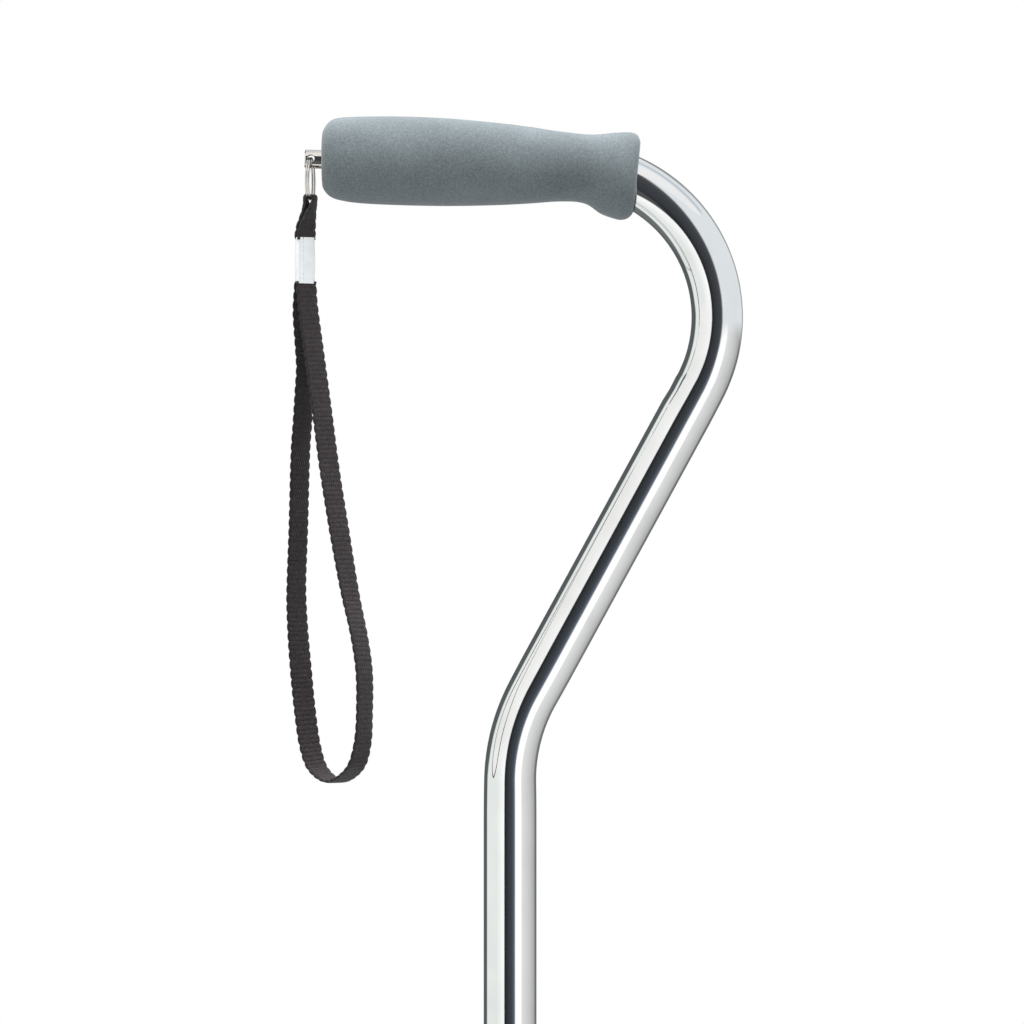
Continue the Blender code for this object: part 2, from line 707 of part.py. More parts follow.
def make_hub_fasteners(look):
    """One bolt through both leg tubes, the hub and the shaft, with washers and a nut."""
    face = LEG_APEX_X + LEG_RADIUS + FIT_GAP
    washer = 0.0012
    head = face + washer + FIT_GAP
    shank_end = -(head + 0.0052)
    at, turned = (0, 0, LEG_APEX_Z), (0, math.pi / 2, 0)
    profile = [
        (0, shank_end),
        (BOLT_RADIUS - 0.0004, shank_end),
        (BOLT_RADIUS, shank_end + 0.0004),
        (BOLT_RADIUS, head),
        (0.0058, head),
        (0.0058, head + 0.0016),
        (0.0042, head + 0.0031),
        (0, head + 0.0035),
    ]
    points, faces = turned_piece(profile, 20)
    solid("hub_bolt", points, faces, look, at, turned)
    hole = BOLT_RADIUS + FIT_GAP
    for name, near in (("hub_washer_front", face), ("hub_washer_rear", -face - washer)):
        rim = [(hole, near), (0.0062, near), (0.0062, near + washer), (hole, near + washer)]
        points, faces = turned_piece(rim, 20)
        solid(name, points, faces, look, at, turned)
    nut = [(0, -head - 0.0050), (0.0058, -head - 0.0050), (0.0058, -head), (0, -head)]
    points, faces = turned_piece(nut, 6)
    made = solid("hub_nut", points, faces, look, at, turned, 20)
    bore(made, "nut_hole", (-2 * face, 0, LEG_APEX_Z), (-face, 0, LEG_APEX_Z), hole)


def build():
    for old in list(bpy.data.objects):
        bpy.data.objects.remove(old)
    chrome = material("chrome_steel", (0.78, 0.80, 0.81), 1.0, 0.07)
    bright = material("nickel_steel", (0.66, 0.65, 0.63), 1.0, 0.22)
    zinc = material("zinc_plated_steel", (0.58, 0.59, 0.60), 1.0, 0.35)
    foam = material("grey_foam", (0.162, 0.198, 0.220), 0.0, 0.85)
    webbing = material("dark_webbing", (0.042, 0.033, 0.035), 0.0, 0.9)
    aluminium = material("crimped_aluminium", (0.83, 0.84, 0.85), 1.0, 0.30)
    nylon = material("grey_nylon", (0.20, 0.21, 0.22), 0.0, 0.5)
    rubber = material("grey_rubber", (0.060, 0.063, 0.066), 0.0, 0.8)
    painted = material("painted_steel", (0.30, 0.31, 0.33), 0.6, 0.35)

    make_handle_tube(chrome)
    make_foam_grip(foam)
    make_handle_end_plug(nylon)
    make_strap_stud(bright)
    make_split_ring(bright)
    make_strap_eye(webbing)
    make_strap_ferrule(aluminium)
    make_strap_loop(webbing)

    make_lower_tube(chrome)
    make_tube_top_glide(nylon)
    make_snap_button(bright)
    make_button_spring(zinc)
    make_thread_sleeve(nylon)
    make_compression_ring(nylon)
    make_locking_collar(nylon)

    make_base_hub(painted)
    make_leg_tube("front_leg_tube", 1, chrome)
    make_leg_tube("rear_leg_tube", -1, chrome)
    make_hub_fasteners(zinc)
    feet = [
        ("front_outer", FOOT_X, FOOT_OUTER_Y),
        ("front_inner", FOOT_X, FOOT_INNER_Y),
        ("rear_outer", -FOOT_X, FOOT_OUTER_Y),
        ("rear_inner", -FOOT_X, FOOT_INNER_Y),
    ]
    for corner, x, y in feet:
        make_tip(f"tip_{corner}", x, y, rubber)
        make_tip_washer(f"tip_washer_{corner}", x, y, zinc)


build()
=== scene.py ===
"""Quad walking cane: its finished surfaces and materials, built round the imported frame.

Sizes are in metres. The shaft stands upright, the handle points along -X, and the wide
side of the base is towards +Y.
"""

import math

import bmesh
import bpy
import numpy as np
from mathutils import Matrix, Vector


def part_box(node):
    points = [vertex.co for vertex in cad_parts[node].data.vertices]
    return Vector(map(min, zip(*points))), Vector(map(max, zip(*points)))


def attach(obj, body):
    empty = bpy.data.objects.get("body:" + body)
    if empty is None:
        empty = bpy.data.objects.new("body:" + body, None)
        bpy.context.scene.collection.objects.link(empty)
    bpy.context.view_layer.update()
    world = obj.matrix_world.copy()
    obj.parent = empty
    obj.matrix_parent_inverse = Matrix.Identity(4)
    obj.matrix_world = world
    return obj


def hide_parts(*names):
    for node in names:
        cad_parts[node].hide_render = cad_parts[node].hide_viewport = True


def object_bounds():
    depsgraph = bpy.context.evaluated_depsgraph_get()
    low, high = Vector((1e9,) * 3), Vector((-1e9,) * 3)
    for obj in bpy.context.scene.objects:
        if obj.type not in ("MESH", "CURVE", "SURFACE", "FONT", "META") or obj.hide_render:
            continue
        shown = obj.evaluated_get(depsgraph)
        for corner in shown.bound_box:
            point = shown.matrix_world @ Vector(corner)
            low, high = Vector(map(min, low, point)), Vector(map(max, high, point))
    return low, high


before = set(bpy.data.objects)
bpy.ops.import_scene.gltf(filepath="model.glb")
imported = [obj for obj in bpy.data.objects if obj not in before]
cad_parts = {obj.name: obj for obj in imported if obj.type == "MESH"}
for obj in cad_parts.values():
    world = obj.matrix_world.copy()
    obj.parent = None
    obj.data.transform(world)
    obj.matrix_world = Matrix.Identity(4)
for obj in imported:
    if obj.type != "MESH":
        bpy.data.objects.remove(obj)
cad_low, cad_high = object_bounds()


# ---- the view ----
# A long lens, level with the bend of the handle, looks square at the cane's side. It takes
# in the handle, the bends, the wrist loop and the top of the shaft.
VIEW_HEIGHT = 0.4306
VIEW_DROP = 0.1663
VIEW_ASIDE = 0.0008
LENS = 200
SENSOR = 36

shaft_low, shaft_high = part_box("lower_tube")
shaft_x = (shaft_low.x + shaft_high.x) / 2
shaft_y = (shaft_low.y + shaft_high.y) / 2
camera = bpy.data.objects.new("camera", bpy.data.cameras.new("camera"))
bpy.context.scene.collection.objects.link(camera)
camera.data.lens = LENS
camera.data.sensor_width = SENSOR
camera.data.clip_end = 50
camera.rotation_euler = (math.pi / 2, 0, 0)
camera.location = (
    shaft_x + VIEW_ASIDE,
    shaft_y - VIEW_HEIGHT * LENS / SENSOR,
    cad_high.z - VIEW_DROP,
)
bpy.context.scene.camera = camera
bpy.context.scene.view_settings.view_transform = "Standard"


# ---- wrist loop ----
# A limp nylon tape, 9.5 mm wide and 1.6 mm thick, woven with a rib every 2 mm. Both its
# ends go up into the metal ferrule, so that it hangs as a loop for the wrist.
WEB_WIDTH = 0.0095
WEB_THICK = 0.0016
RIB_PITCH = 0.0020
STRAP_TURN = math.radians(55)
# millimetres across the loop's plane, and down from the ferrule's lower edge
LOOP_LEFT = [(-0.95, 0.3), (-2.1, 12), (-0.6, 25), (0.5, 35), (-0.4, 44), (-2.0, 58), (-3.7, 72)]
LOOP_LEFT += [(-5.2, 102), (-6.8, 128), (-5.9, 144), (-3.7, 160), (-0.5, 178), (3.7, 194), (10.3, 204)]
LOOP_FOOT = [(23.5, 208.3)]
LOOP_RIGHT = [(37.7, 202.6), (43.7, 192), (45.2, 178), (44.9, 162), (41.0, 147), (34.4, 130)]
LOOP_RIGHT += [(28.0, 110), (19.2, 80), (13.0, 54), (6.6, 28), (2.2, 10), (0.95, 0.3)]
# share of the loop's length from its left end, and how far the tape is twisted there, degrees
LOOP_TWIST = [(0, 0), (0.28, 0), (0.37, 16), (0.44, 14), (0.52, 0), (0.58, -12), (0.67, -9)]
LOOP_TWIST += [(0.76, 4), (1, 4)]


def add_node(tree, kind, values=(), **settings):
    """A shader node; values maps sockets to numbers, colours or other nodes' outputs."""
    made = tree.nodes.new(kind)
    for key, value in settings.items():
        setattr(made, key, value)
    for key, value in dict(values).items():
        if isinstance(value, bpy.types.NodeSocket):
            tree.links.new(value, made.inputs[key])
        else:
            made.inputs[key].default_value = value
    return made


def reckon(tree, operation, first, second=0.0, third=0.0):
    """The output of a Math node."""
    values = {0: first, 1: second, 2: third}
    return add_node(tree, "ShaderNodeMath", values, operation=operation).outputs[0]


def ramp(tree, factor, stops):
    """The colour output of a ramp; stops are pairs of position and grey or colour."""
    made = add_node(tree, "ShaderNodeValToRGB", {"Fac": factor})
    bar = made.color_ramp.elements
    while len(bar) < len(stops):
        bar.new(0.5)
    for element, (position, colour) in zip(bar, stops):
        element.position = position
        three = colour if isinstance(colour, tuple) else (colour,) * 3
        element.color = (*three, 1)
    return made.outputs["Color"]


def blend_colours(tree, factor, first, second, how="MIX"):
    """The colour output of a Mix node set to colours."""
    made = add_node(tree, "ShaderNodeMix", data_type="RGBA", blend_type=how)
    for socket, value in ((0, factor), (6, first), (7, second)):
        if isinstance(value, bpy.types.NodeSocket):
            tree.links.new(value, made.inputs[socket])
        else:
            made.inputs[socket].default_value = value
    return made.outputs[2]


def times(tree, first, second):
    """Two colours multiplied."""
    return blend_colours(tree, 1.0, first, second, "MULTIPLY")


def noise(tree, vector, scale, detail, **more):
    """The grey output of a Noise texture."""
    values = {"Vector": vector, "Scale": scale, "Detail": detail, **more}
    return add_node(tree, "ShaderNodeTexNoise", values).outputs["Fac"]


def own_place(tree):
    """The piece's own Object coordinates."""
    return add_node(tree, "ShaderNodeTexCoord").outputs["Object"]


def split(tree, vector):
    """The X, Y and Z outputs of a vector."""
    return add_node(tree, "ShaderNodeSeparateXYZ", {0: vector}).outputs


def new_look(name, **values):
    """A material with a Principled shader; values are constants for its own sockets."""
    made = bpy.data.materials.new(name)
    made.use_nodes = True
    tree = made.node_tree
    shader = tree.nodes["Principled BSDF"]
    for socket, value in values.items():
        shader.inputs[socket.replace("_", " ")].default_value = value
    return made, tree, shader


def link_bump(tree, shader, height, strength, distance):
    """Turns a height into the shader's normal."""
    values = {"Height": height, "Strength": strength, "Distance": distance}
    bump = add_node(tree, "ShaderNodeBump", values)
    tree.links.new(bump.outputs["Normal"], shader.inputs["Normal"])


def grid_quads(rows, columns, wrap_rows, wrap_columns, first):
    """Corner numbers of the quads between neighbouring lines of a grid of points."""
    row = np.arange(rows if wrap_rows else rows - 1)[:, None]
    column = np.arange(columns if wrap_columns else columns - 1)[None, :]
    ahead, beside = (row + 1) % rows, (column + 1) % columns
    corners = [
        row * columns + column,
        row * columns + beside,
        ahead * columns + beside,
        ahead * columns + column,
    ]
    return first + np.stack(np.broadcast_arrays(*corners), axis=-1).reshape(-1, 4)


def new_piece(name, grids, look, sharp=38, **fields):
    """A mesh object from grids of points, each given as (points, wrap_rows, wrap_columns),
    or as points alone where only the columns close into a ring.

    Grids that share edges are merged there, a row drawn together becomes a pole, and the
    faces are turned outward. fields are vectors kept for each point.
    """
    points, quads, first = [], [], 0
    for grid in grids:
        grid, wrap_rows, wrap_columns = grid if isinstance(grid, tuple) else (grid, False, True)
        rows, columns = grid.shape[:2]
        points.append(grid.reshape(-1, 3))
        quads.append(grid_quads(rows, columns, wrap_rows, wrap_columns, first))
        first += rows * columns
    mesh = bpy.data.meshes.new(name)
    mesh.from_pydata(np.vstack(points).tolist(), [], np.vstack(quads).tolist())
    for field, values in fields.items():
        kept = mesh.attributes.new(field, "FLOAT_VECTOR", "POINT")
        kept.data.foreach_set("vector", values.astype(np.float32).ravel())
    work = bmesh.new()
    work.from_mesh(mesh)
    bmesh.ops.remove_doubles(work, verts=work.verts, dist=0.000002)
    bmesh.ops.recalc_face_normals(work, faces=work.faces)
    work.to_mesh(mesh)
    work.free()
    mesh.materials.append(look)
    mesh.shade_smooth()
    mesh.set_sharp_from_angle(angle=math.radians(sharp))
    made = bpy.data.objects.new(name, mesh)
    bpy.context.scene.collection.objects.link(made)
    return made


def smooth_through(points, count):
    """A curve through the points, read at even distances.

    Each span is a cubic whose ends head along the line between their neighbours.
    """
    points = np.asarray(points, float)
    ends = np.vstack([2 * points[:1] - points[1:2], points, 2 * points[-1:] - points[-2:-1]])
    a, b, c, d = ends[:-3, None], ends[1:-2, None], ends[2:-1, None], ends[3:, None]
    t = np.linspace(0, 1, 60, endpoint=False)[None, :, None]
    spans = 2 * b + (c - a) * t + (2 * a - 5 * b + 4 * c - d) * t**2
    spans = (spans + (3 * b - a - 3 * c + d) * t**3) / 2
    fine = np.vstack([spans.reshape(-1, points.shape[1]), points[-1:]])
    run = np.r_[0, np.cumsum(np.linalg.norm(np.diff(fine, axis=0), axis=1))]
    even = np.linspace(0, run[-1], count)
    return np.stack([np.interp(even, run, column) for column in fine.T], axis=1)


def unit(vectors):
    """The vectors at length 1."""
    return vectors / np.linalg.norm(vectors, axis=-1, keepdims=True)


def woven_tape(path, widths, width, thick):
    """The grid of a ribbed tape along a path, and each point's place on the tape in mm.

    A row is a flat oval: cosine to a small power times half the width, and sine to a
    power times half the thickness. Half-round ribs follow each other at the rib pitch,
    on the back half a pitch later; the edge bulges over each rib, and more over every
    second one, where the weft turns back.
    """
    tangent = unit(np.gradient(path, axis=0))
    widths = unit(widths - tangent * np.sum(tangent * widths, axis=1, keepdims=True))
    face = np.cross(tangent, widths)
    steps = np.linalg.norm(np.diff(path, axis=0), axis=1)
    along = np.r_[0, np.cumsum(steps)]
    angle = np.arange(32) * math.pi / 16
    across = np.sign(np.cos(angle)) * np.abs(np.cos(angle)) ** 0.45
    proud = np.sign(np.sin(angle)) * np.abs(np.sin(angle)) ** 0.75
    front = 1 - (2 * (along / RIB_PITCH % 1) - 1) ** 2
    back = 1 - (2 * ((along / RIB_PITCH + 0.5) % 1) - 1) ** 2
    share = (1 + proud) / 2
    rib = np.sqrt(front)[:, None] * share + np.sqrt(back)[:, None] * (1 - share)
    scallop = np.abs(np.sin(math.pi / 2 * along / RIB_PITCH)) ** 0.8
    half_width = (width / 2 * (0.905 + 0.015 * np.sqrt(front) + 0.115 * scallop))[:, None]
    half_thick = thick / 2 * (0.86 + 0.16 * rib)
    aside = half_width * across
    grid = path[:, None] + aside[..., None] * widths[:, None]
    grid = grid + (half_thick * proud)[..., None] * face[:, None]
    # the third value of each place is the rib's height; the webbing's colour uses it for painted shade in
    # the grooves
    place = np.stack([aside * 1000, np.broadcast_to(along[:, None] * 1000, aside.shape), rib], -1)
    ends = np.repeat(path[[0, -1], None], 32, axis=1)
    grid = np.concatenate([ends[:1], grid, ends[1:]])
    place = np.concatenate([place[:1], place, place[-1:]])
    return grid, place


def make_webbing_look():
    """Dark nylon: yarns lie side by side over each rib, set half a yarn over on the next. The colour is
    lighter on the crests of the ribs and yarns and darker in the grooves between them, which is painted
    shade, and darker towards both edges."""
    look, tree, shader = new_look("webbing", Roughness=0.78, Sheen_Weight=0.12, Sheen_Roughness=0.5)
    place = add_node(tree, "ShaderNodeAttribute", attribute_name="place").outputs["Vector"]
    apart = split(tree, place)
    row = reckon(tree, "FLOOR", reckon(tree, "DIVIDE", apart["Y"], RIB_PITCH * 1000))
    shifted = reckon(tree, "MULTIPLY_ADD", row, 0.5, reckon(tree, "DIVIDE", apart["X"], 1.05))
    yarn = reckon(tree, "ABSOLUTE", reckon(tree, "SINE", reckon(tree, "MULTIPLY", shifted, math.pi)))
    fibre = noise(tree, place, 3.0, 4.0, Roughness=0.7)
    slack = noise(tree, place, 0.85, 1.0)
    wear = noise(tree, own_place(tree), 70.0, 3.0)
    # height of the ribs and yarns: it lightens the colour on their crests and darkens it in the grooves
    # between them, which is painted shade, and it is also the bump's height
    lie = reckon(tree, "MULTIPLY_ADD", apart["Z"], 0.55, reckon(tree, "MULTIPLY", yarn, 0.45))
    tone = reckon(tree, "MULTIPLY_ADD", fibre, 0.45, reckon(tree, "MULTIPLY", lie, 0.5))
    tone = reckon(tree, "ADD", tone, reckon(tree, "MULTIPLY_ADD", slack, 0.9, -0.4))
    stops = [(0.15, (0.009, 0.0065, 0.007)), (0.55, (0.023, 0.0175, 0.018)), (0.95, (0.048, 0.037, 0.039))]
    colour = ramp(tree, tone, stops)
    worn = ramp(tree, wear, [(0.35, 0.85), (0.75, 1.15)])
    colour = times(tree, colour, worn)
    # the colour is darker towards both edges of the tape
    edge = reckon(tree, "DIVIDE", reckon(tree, "ABSOLUTE", apart["X"]), WEB_WIDTH * 500)
    edge_darkening = ramp(tree, edge, [(0.80, 1.0), (0.93, 0.45)])
    tree.links.new(times(tree, colour, edge_darkening), shader.inputs["Base Color"])
    height = reckon(tree, "MULTIPLY_ADD", fibre, 0.3, lie)
    link_bump(tree, shader, height, 1.0, 0.00025)
    return look


ferrule_low, ferrule_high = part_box("strap_ferrule")
strap_x = (ferrule_low.x + ferrule_high.x) / 2
strap_across = np.array([math.cos(STRAP_TURN), -math.sin(STRAP_TURN), 0])
strap_wide = np.array([math.sin(STRAP_TURN), math.cos(STRAP_TURN), 0])
route = np.array(LOOP_LEFT + LOOP_FOOT + LOOP_RIGHT) / 1000
exit_point = np.array([strap_x, shaft_y, ferrule_low.z])
loop_route = exit_point + route[:, :1] * strap_across - route[:, 1:] * np.array([0, 0, 1])
loop_path = smooth_through(loop_route, 1740)
webbing = make_webbing_look()
tucked = loop_path[[0, -1]] + [0, 0, 0.0012]
swept_path = np.vstack([tucked[:1], loop_path, tucked[1:]])
share, twist = np.array(LOOP_TWIST).T
facing = STRAP_TURN + np.radians(np.interp(np.linspace(0, 1, len(swept_path)), share, twist))
loop_wide = np.stack([np.sin(facing), np.cos(facing), 0 * facing], axis=1)
grid, place = woven_tape(swept_path, loop_wide, WEB_WIDTH, WEB_THICK)
wrist_loop = new_piece("wrist_loop", [grid], webbing, place=place)
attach(wrist_loop, "strap")
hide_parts("strap_loop")


# ---- strap eye ----
# A short length of the same tape, doubled through the split ring and clamped below in the
# ferrule. It twists from the ring's wire to the loop's plane.
EYE_WIDTH = 0.0090
EYE_THICK = 0.0019
EYE_REACH = 0.0020
# metres across and up from the ferrule, and how much of the turn to the ferrule's plane is made
EYE_STRAND = [(-0.00095, -0.0010, 1), (-0.00100, 0.0020, 1), (-0.00110, 0.0062, 0.8)]
EYE_STRAND += [(-0.0012, 0.0108, 0.5)]
RING_TURN = math.radians(5)
ring_low, ring_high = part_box("split_ring")
ring_x = (ring_low.x + ring_high.x) / 2

eye_arch_z = ring_low.z + 0.0008
eye_rise = eye_arch_z - ferrule_high.z
strand = np.array(EYE_STRAND) + [0, ferrule_high.z, 0]
arch = np.linspace(math.pi, 0, 9)
over = np.stack([EYE_REACH * np.cos(arch), eye_arch_z + 1.1 * EYE_REACH * np.sin(arch), 0 * arch], axis=1)
eye_line = smooth_through(np.vstack([strand, over, strand[::-1] * [-1, 1, 1]]), 200)
turn = RING_TURN + eye_line[:, 2] * (STRAP_TURN - RING_TURN)
fall = np.clip((eye_arch_z - eye_line[:, 1]) / eye_rise, 0, 1)
fall = fall * fall * (3 - 2 * fall)
eye_path = np.stack(
    [
        ring_x + fall * (strap_x - ring_x) + eye_line[:, 0] * np.cos(turn),
        shaft_y - eye_line[:, 0] * np.sin(turn),
        eye_line[:, 1],
    ],
    axis=1,
)
eye_wide = np.stack([np.sin(turn), np.cos(turn), 0 * turn], axis=1)
grid, place = woven_tape(eye_path, eye_wide, EYE_WIDTH * (0.72 + 0.28 * fall), EYE_THICK)
strap_eye = new_piece("webbing_eye", [grid], webbing, place=place)
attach(strap_eye, "strap")
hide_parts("strap_eye")


# ---- ferrule ----
# A sleeve of soft bright metal, bent round the four layers of tape and crimped flat. The
# sheet's edges meet in a row of small teeth down its front.
FERRULE_WIDTH = 0.0089
FERRULE_THICK = 0.0042
FERRULE_WALL = 0.00045
CRIMP_PITCH = 0.0019
SEAM_DEPTH = 0.00030
PRESS_DEPTH = 0.00016
PRESS_PITCH = 0.0065
LIP_DEPTH = 0.0014


def new_group(name, inputs, outputs):
    """A shader node group: inputs maps names to default values, outputs lists names."""
    tree = bpy.data.node_groups.new(name, "ShaderNodeTree")
    for label, value in inputs.items():
        socket = tree.interface.new_socket(label, in_out="INPUT", socket_type="NodeSocketFloat")
        socket.default_value = value
    for label in outputs:
        tree.interface.new_socket(label, in_out="OUTPUT", socket_type="NodeSocketFloat")
    return tree, tree.nodes.new("NodeGroupInput").outputs, tree.nodes.new("NodeGroupOutput").inputs


def make_polish_marks():
    """Handling marks on metal: broad smudges, and fine lines left by wiping.

    The smudges are a soft noise; the lines are a noise drawn out along a slanting way, of
    which only the thin ridge near its middle value is kept.
    """
    tree, given, result = new_group("polish_marks", {"Size": 60.0, "Line Size": 900.0}, ["Smudge", "Line"])
    smudge = noise(tree, own_place(tree), given["Size"], 5.0, Distortion=0.6)
    tree.links.new(ramp(tree, smudge, [(0.42, 0.0), (0.72, 1.0)]), result["Smudge"])
    values = {"Vector": own_place(tree), "Rotation": (0.5, 0.9, 0.3), "Scale": (1.0, 0.03, 0.12)}
    drawn = add_node(tree, "ShaderNodeMapping", values).outputs[0]
    line = noise(tree, drawn, given["Line Size"], 2.0)
    ridge = reckon(tree, "ABSOLUTE", reckon(tree, "SUBTRACT", line, 0.5))
    tree.links.new(ramp(tree, ridge, [(0.0, 1.0), (0.012, 0.0)]), result["Line"])
    return tree


polish_marks = make_polish_marks()


def make_metal_look(
    name, colour, roughness, smudge, scratch, size, grain=0.0, metallic=1.0, relief=0.2
):
    """A metal whose roughness and colour follow its smudges and wiping lines. size is how
    many smudges there are to a metre, grain the depth of its skin against that of a line."""
    look, tree, shader = new_look(name, Metallic=metallic)
    marks = add_node(tree, "ShaderNodeGroup", node_tree=polish_marks)
    marks.inputs["Size"].default_value = size
    marked = reckon(tree, "MULTIPLY_ADD", marks.outputs["Smudge"], smudge, roughness)
    marked = reckon(tree, "MULTIPLY_ADD", marks.outputs["Line"], scratch, marked)
    tree.links.new(marked, shader.inputs["Roughness"])
    dull = tuple(0.93 * c for c in colour)
    tone = blend_colours(tree, marks.outputs["Smudge"], (*colour, 1), (*dull, 1))
    tree.links.new(tone, shader.inputs["Base Color"])
    height = marks.outputs["Line"]
    if grain:
        height = reckon(tree, "MULTIPLY_ADD", noise(tree, own_place(tree), 1800.0, 3.0), grain, height)
    link_bump(tree, shader, height, relief, 0.000012)
    return look


def ferrule_grid(rows, columns):
    """The sleeve's outside, rolled in at both ends to an inner wall and a closed middle.

    Across it is a rounded box: cosine and sine to a power, times half the width and half
    the depth, swelling a little at mid height. A narrow groove with teeth runs down the
    front near one edge, and shallow dents cross both flat faces.
    """
    angle = (np.arange(columns) + 0.5) * 2 * math.pi / columns
    angle = angle + 0.35 * np.sin(2 * angle)
    wide = np.sign(np.cos(angle)) * np.abs(np.cos(angle)) ** 0.42
    deep = np.sign(np.sin(angle)) * np.abs(np.sin(angle)) ** 0.62
    height = np.linspace(0, 1, rows)
    length = ferrule_high.z - ferrule_low.z
    along = height * length
    teeth = 0.55 + 0.45 * np.cos(2 * math.pi * along / CRIMP_PITCH)
    seam = np.exp(-(((wide + 0.50) / 0.036) ** 2)) * (deep > 0)
    dent = np.exp(-((wide / 0.55) ** 2)) * np.abs(deep) ** 3
    press = np.sin(math.pi * height) ** 0.5 * (0.6 + 0.4 * np.cos(2 * math.pi * along / PRESS_PITCH))
    inset = SEAM_DEPTH * teeth[:, None] * seam + PRESS_DEPTH * press[:, None] * dent
    flare = 1 - 0.035 * np.sin(math.pi * height)[:, None] ** 0.7
    half_deep = (FERRULE_THICK / 2 * deep * flare) - np.sign(deep) * inset
    half_wide = FERRULE_WIDTH / 2 * wide * (0.94 + 0.06 * np.sin(math.pi * height)[:, None])
    lip_in = 1 - FERRULE_WALL / (FERRULE_THICK / 2)
    edge_in = 1 - FERRULE_WALL / (FERRULE_WIDTH / 2)
    lips = [(0, 0, LIP_DEPTH), (edge_in, lip_in, LIP_DEPTH), (edge_in, lip_in, 0.0001)]
    lips += [(edge_in, lip_in + 0.08, 0)]
    low, high = [], []
    for width_share, depth_share, z in lips:
        w, d = half_wide[0] * width_share, half_deep[0] * depth_share
        low.append(np.stack([w, d, np.full(columns, z)], axis=1))
        high.insert(0, np.stack([w, d, np.full(columns, length - z)], axis=1))
    outside = np.stack([half_wide, half_deep, np.broadcast_to(along[:, None], half_deep.shape)], -1)
    shape = np.concatenate([low, outside, high])
    base = exit_point + shape[..., :1] * strap_wide + shape[..., 1:2] * strap_across
    return base + shape[..., 2:] * np.array([0, 0, 1])


crimped = make_metal_look("crimped_aluminium", (0.95, 0.98, 0.99), 0.30, 0.10, 0.08, 220.0, 0.5, 0.2)
ferrule = new_piece("crimped_ferrule", [ferrule_grid(96, 160)], crimped, sharp=60)
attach(ferrule, "strap")
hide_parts("strap_ferrule")


# ---- split ring ----
# Two turns of nickel-plated spring wire, side by side, through the stud's cross hole and
# the eye of the strap.
RING_RADIUS = 0.0087
RING_WIRE = 0.00085
RING_PITCH = 0.00098
RING_STEPS = 260


def swept(path, radius, side, columns, closed_ends=True):
    """The grid of a round bar along a path: centre plus radius times cosine along the side
    direction and sine along the normal. radius may be one number for each row and column."""
    tangent = unit(np.gradient(path, axis=0))
    across = unit(side - tangent * np.sum(tangent * side, axis=1, keepdims=True))
    normal = np.cross(tangent, across)
    angle = np.arange(columns) * 2 * math.pi / columns
    reach = np.broadcast_to(radius, (len(path), columns))[..., None]
    grid = path[:, None] + reach * (
        np.cos(angle)[None, :, None] * across[:, None] + np.sin(angle)[None, :, None] * normal[:, None]
    )
    if not closed_ends:
        return grid
    ends = np.repeat(path[[0, -1], None], columns, axis=1)
    return np.concatenate([ends[:1], grid, ends[1:]])


def make_split_ring(look):
    """Two turns of wire from the ring's foot, its end faces filed slightly in."""
    turns = np.linspace(0, 4 * math.pi, RING_STEPS)
    offset = RING_PITCH * (turns / (2 * math.pi) - 1)
    coil = np.stack([offset, -RING_RADIUS * np.sin(turns), -RING_RADIUS * np.cos(turns)], axis=1)
    c, s = math.cos(-RING_TURN), math.sin(-RING_TURN)
    coil = np.stack([coil[:, 0] * c - coil[:, 1] * s, coil[:, 0] * s + coil[:, 1] * c, coil[:, 2]], 1)
    middle = np.array([ring_x, shaft_y, (ring_low.z + ring_high.z) / 2])
    radius = np.full((RING_STEPS, 1), RING_WIRE / 2)
    radius[[0, -1]] *= 0.8
    grid = swept(coil + middle, radius, np.array([1.0, 0.0, 0.0]), 16)
    return new_piece("key_ring", [grid], look, sharp=50)


nickel = make_metal_look("nickel_plate", (0.84, 0.80, 0.75), 0.06, 0.05, 0.05, 300.0)
key_ring = make_split_ring(nickel)

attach(key_ring, "ring")
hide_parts("split_ring")


# ---- handle tube ----
# One bright chromed steel tube, bent twice cold, so the bends are a little flattened. Pairs
# of 8.6 mm holes an inch apart run down its straight part for the snap button.
TUBE_RADIUS = 0.0111
TUBE_WALL = 0.0012
TUBE_SIDES = 72
HANDLE_AXIS_Z = 0.7413
LOWER_CORNER_Z = 0.502
SLANT = math.radians(28.65)
HANDLE_TILT = math.radians(1.8)
LOWER_BEND_RADIUS = 0.078
UPPER_BEND_RADIUS = 0.063
HANDLE_TUBE_BOTTOM = 0.131
HANDLE_TUBE_END_X = -0.0743
HOLE_PITCH = 0.0254
HOLE_COUNT = 9
HOLE_RADIUS = 0.0043
BUTTON_Z = 0.3611
BEND_FLATTENING = 0.026
SHAFT = np.array([shaft_x, shaft_y, 0.0])
DENT_PLACE = SHAFT + [0.0835, 0, 0.640]
DENT_DEPTH = 0.00024
AHEAD, ASIDE, UP = np.eye(3)


def rounded_path(corners, radii, straight_step, turn_step):
    """A path from corner to corner, each one between rounded by an arc of its radius."""
    corners = np.asarray(corners, float)
    into = unit(np.diff(corners, axis=0))
    turns = np.arccos(np.clip(np.sum(into[:-1] * into[1:], axis=1), -1, 1))
    cut_back = np.asarray(radii) * np.tan(turns / 2)
    runs, start = [], corners[0]
    for i, (radius, turn, cut) in enumerate(zip(radii, turns, cut_back)):
        entry = corners[i + 1] - into[i] * cut
        count = max(2, math.ceil(np.linalg.norm(entry - start) / straight_step))
        runs.append(np.linspace(start, entry, count, endpoint=False))
        inward = unit(into[i + 1] - into[i] * np.dot(into[i], into[i + 1]))
        angle = np.linspace(0, turn, math.ceil(turn / turn_step), endpoint=False)[:, None]
        runs.append(entry + radius * (np.sin(angle) * into[i] + (1 - np.cos(angle)) * inward))
        start = corners[i + 1] + into[i + 1] * cut
    count = max(2, math.ceil(np.linalg.norm(corners[-1] - start) / straight_step))
    return np.vstack([*runs, np.linspace(start, corners[-1], count + 1)])


def handle_axis_z(x):
    """Height of the handle's straight axis, x from the shaft's."""
    return HANDLE_AXIS_Z - math.tan(HANDLE_TILT) * x


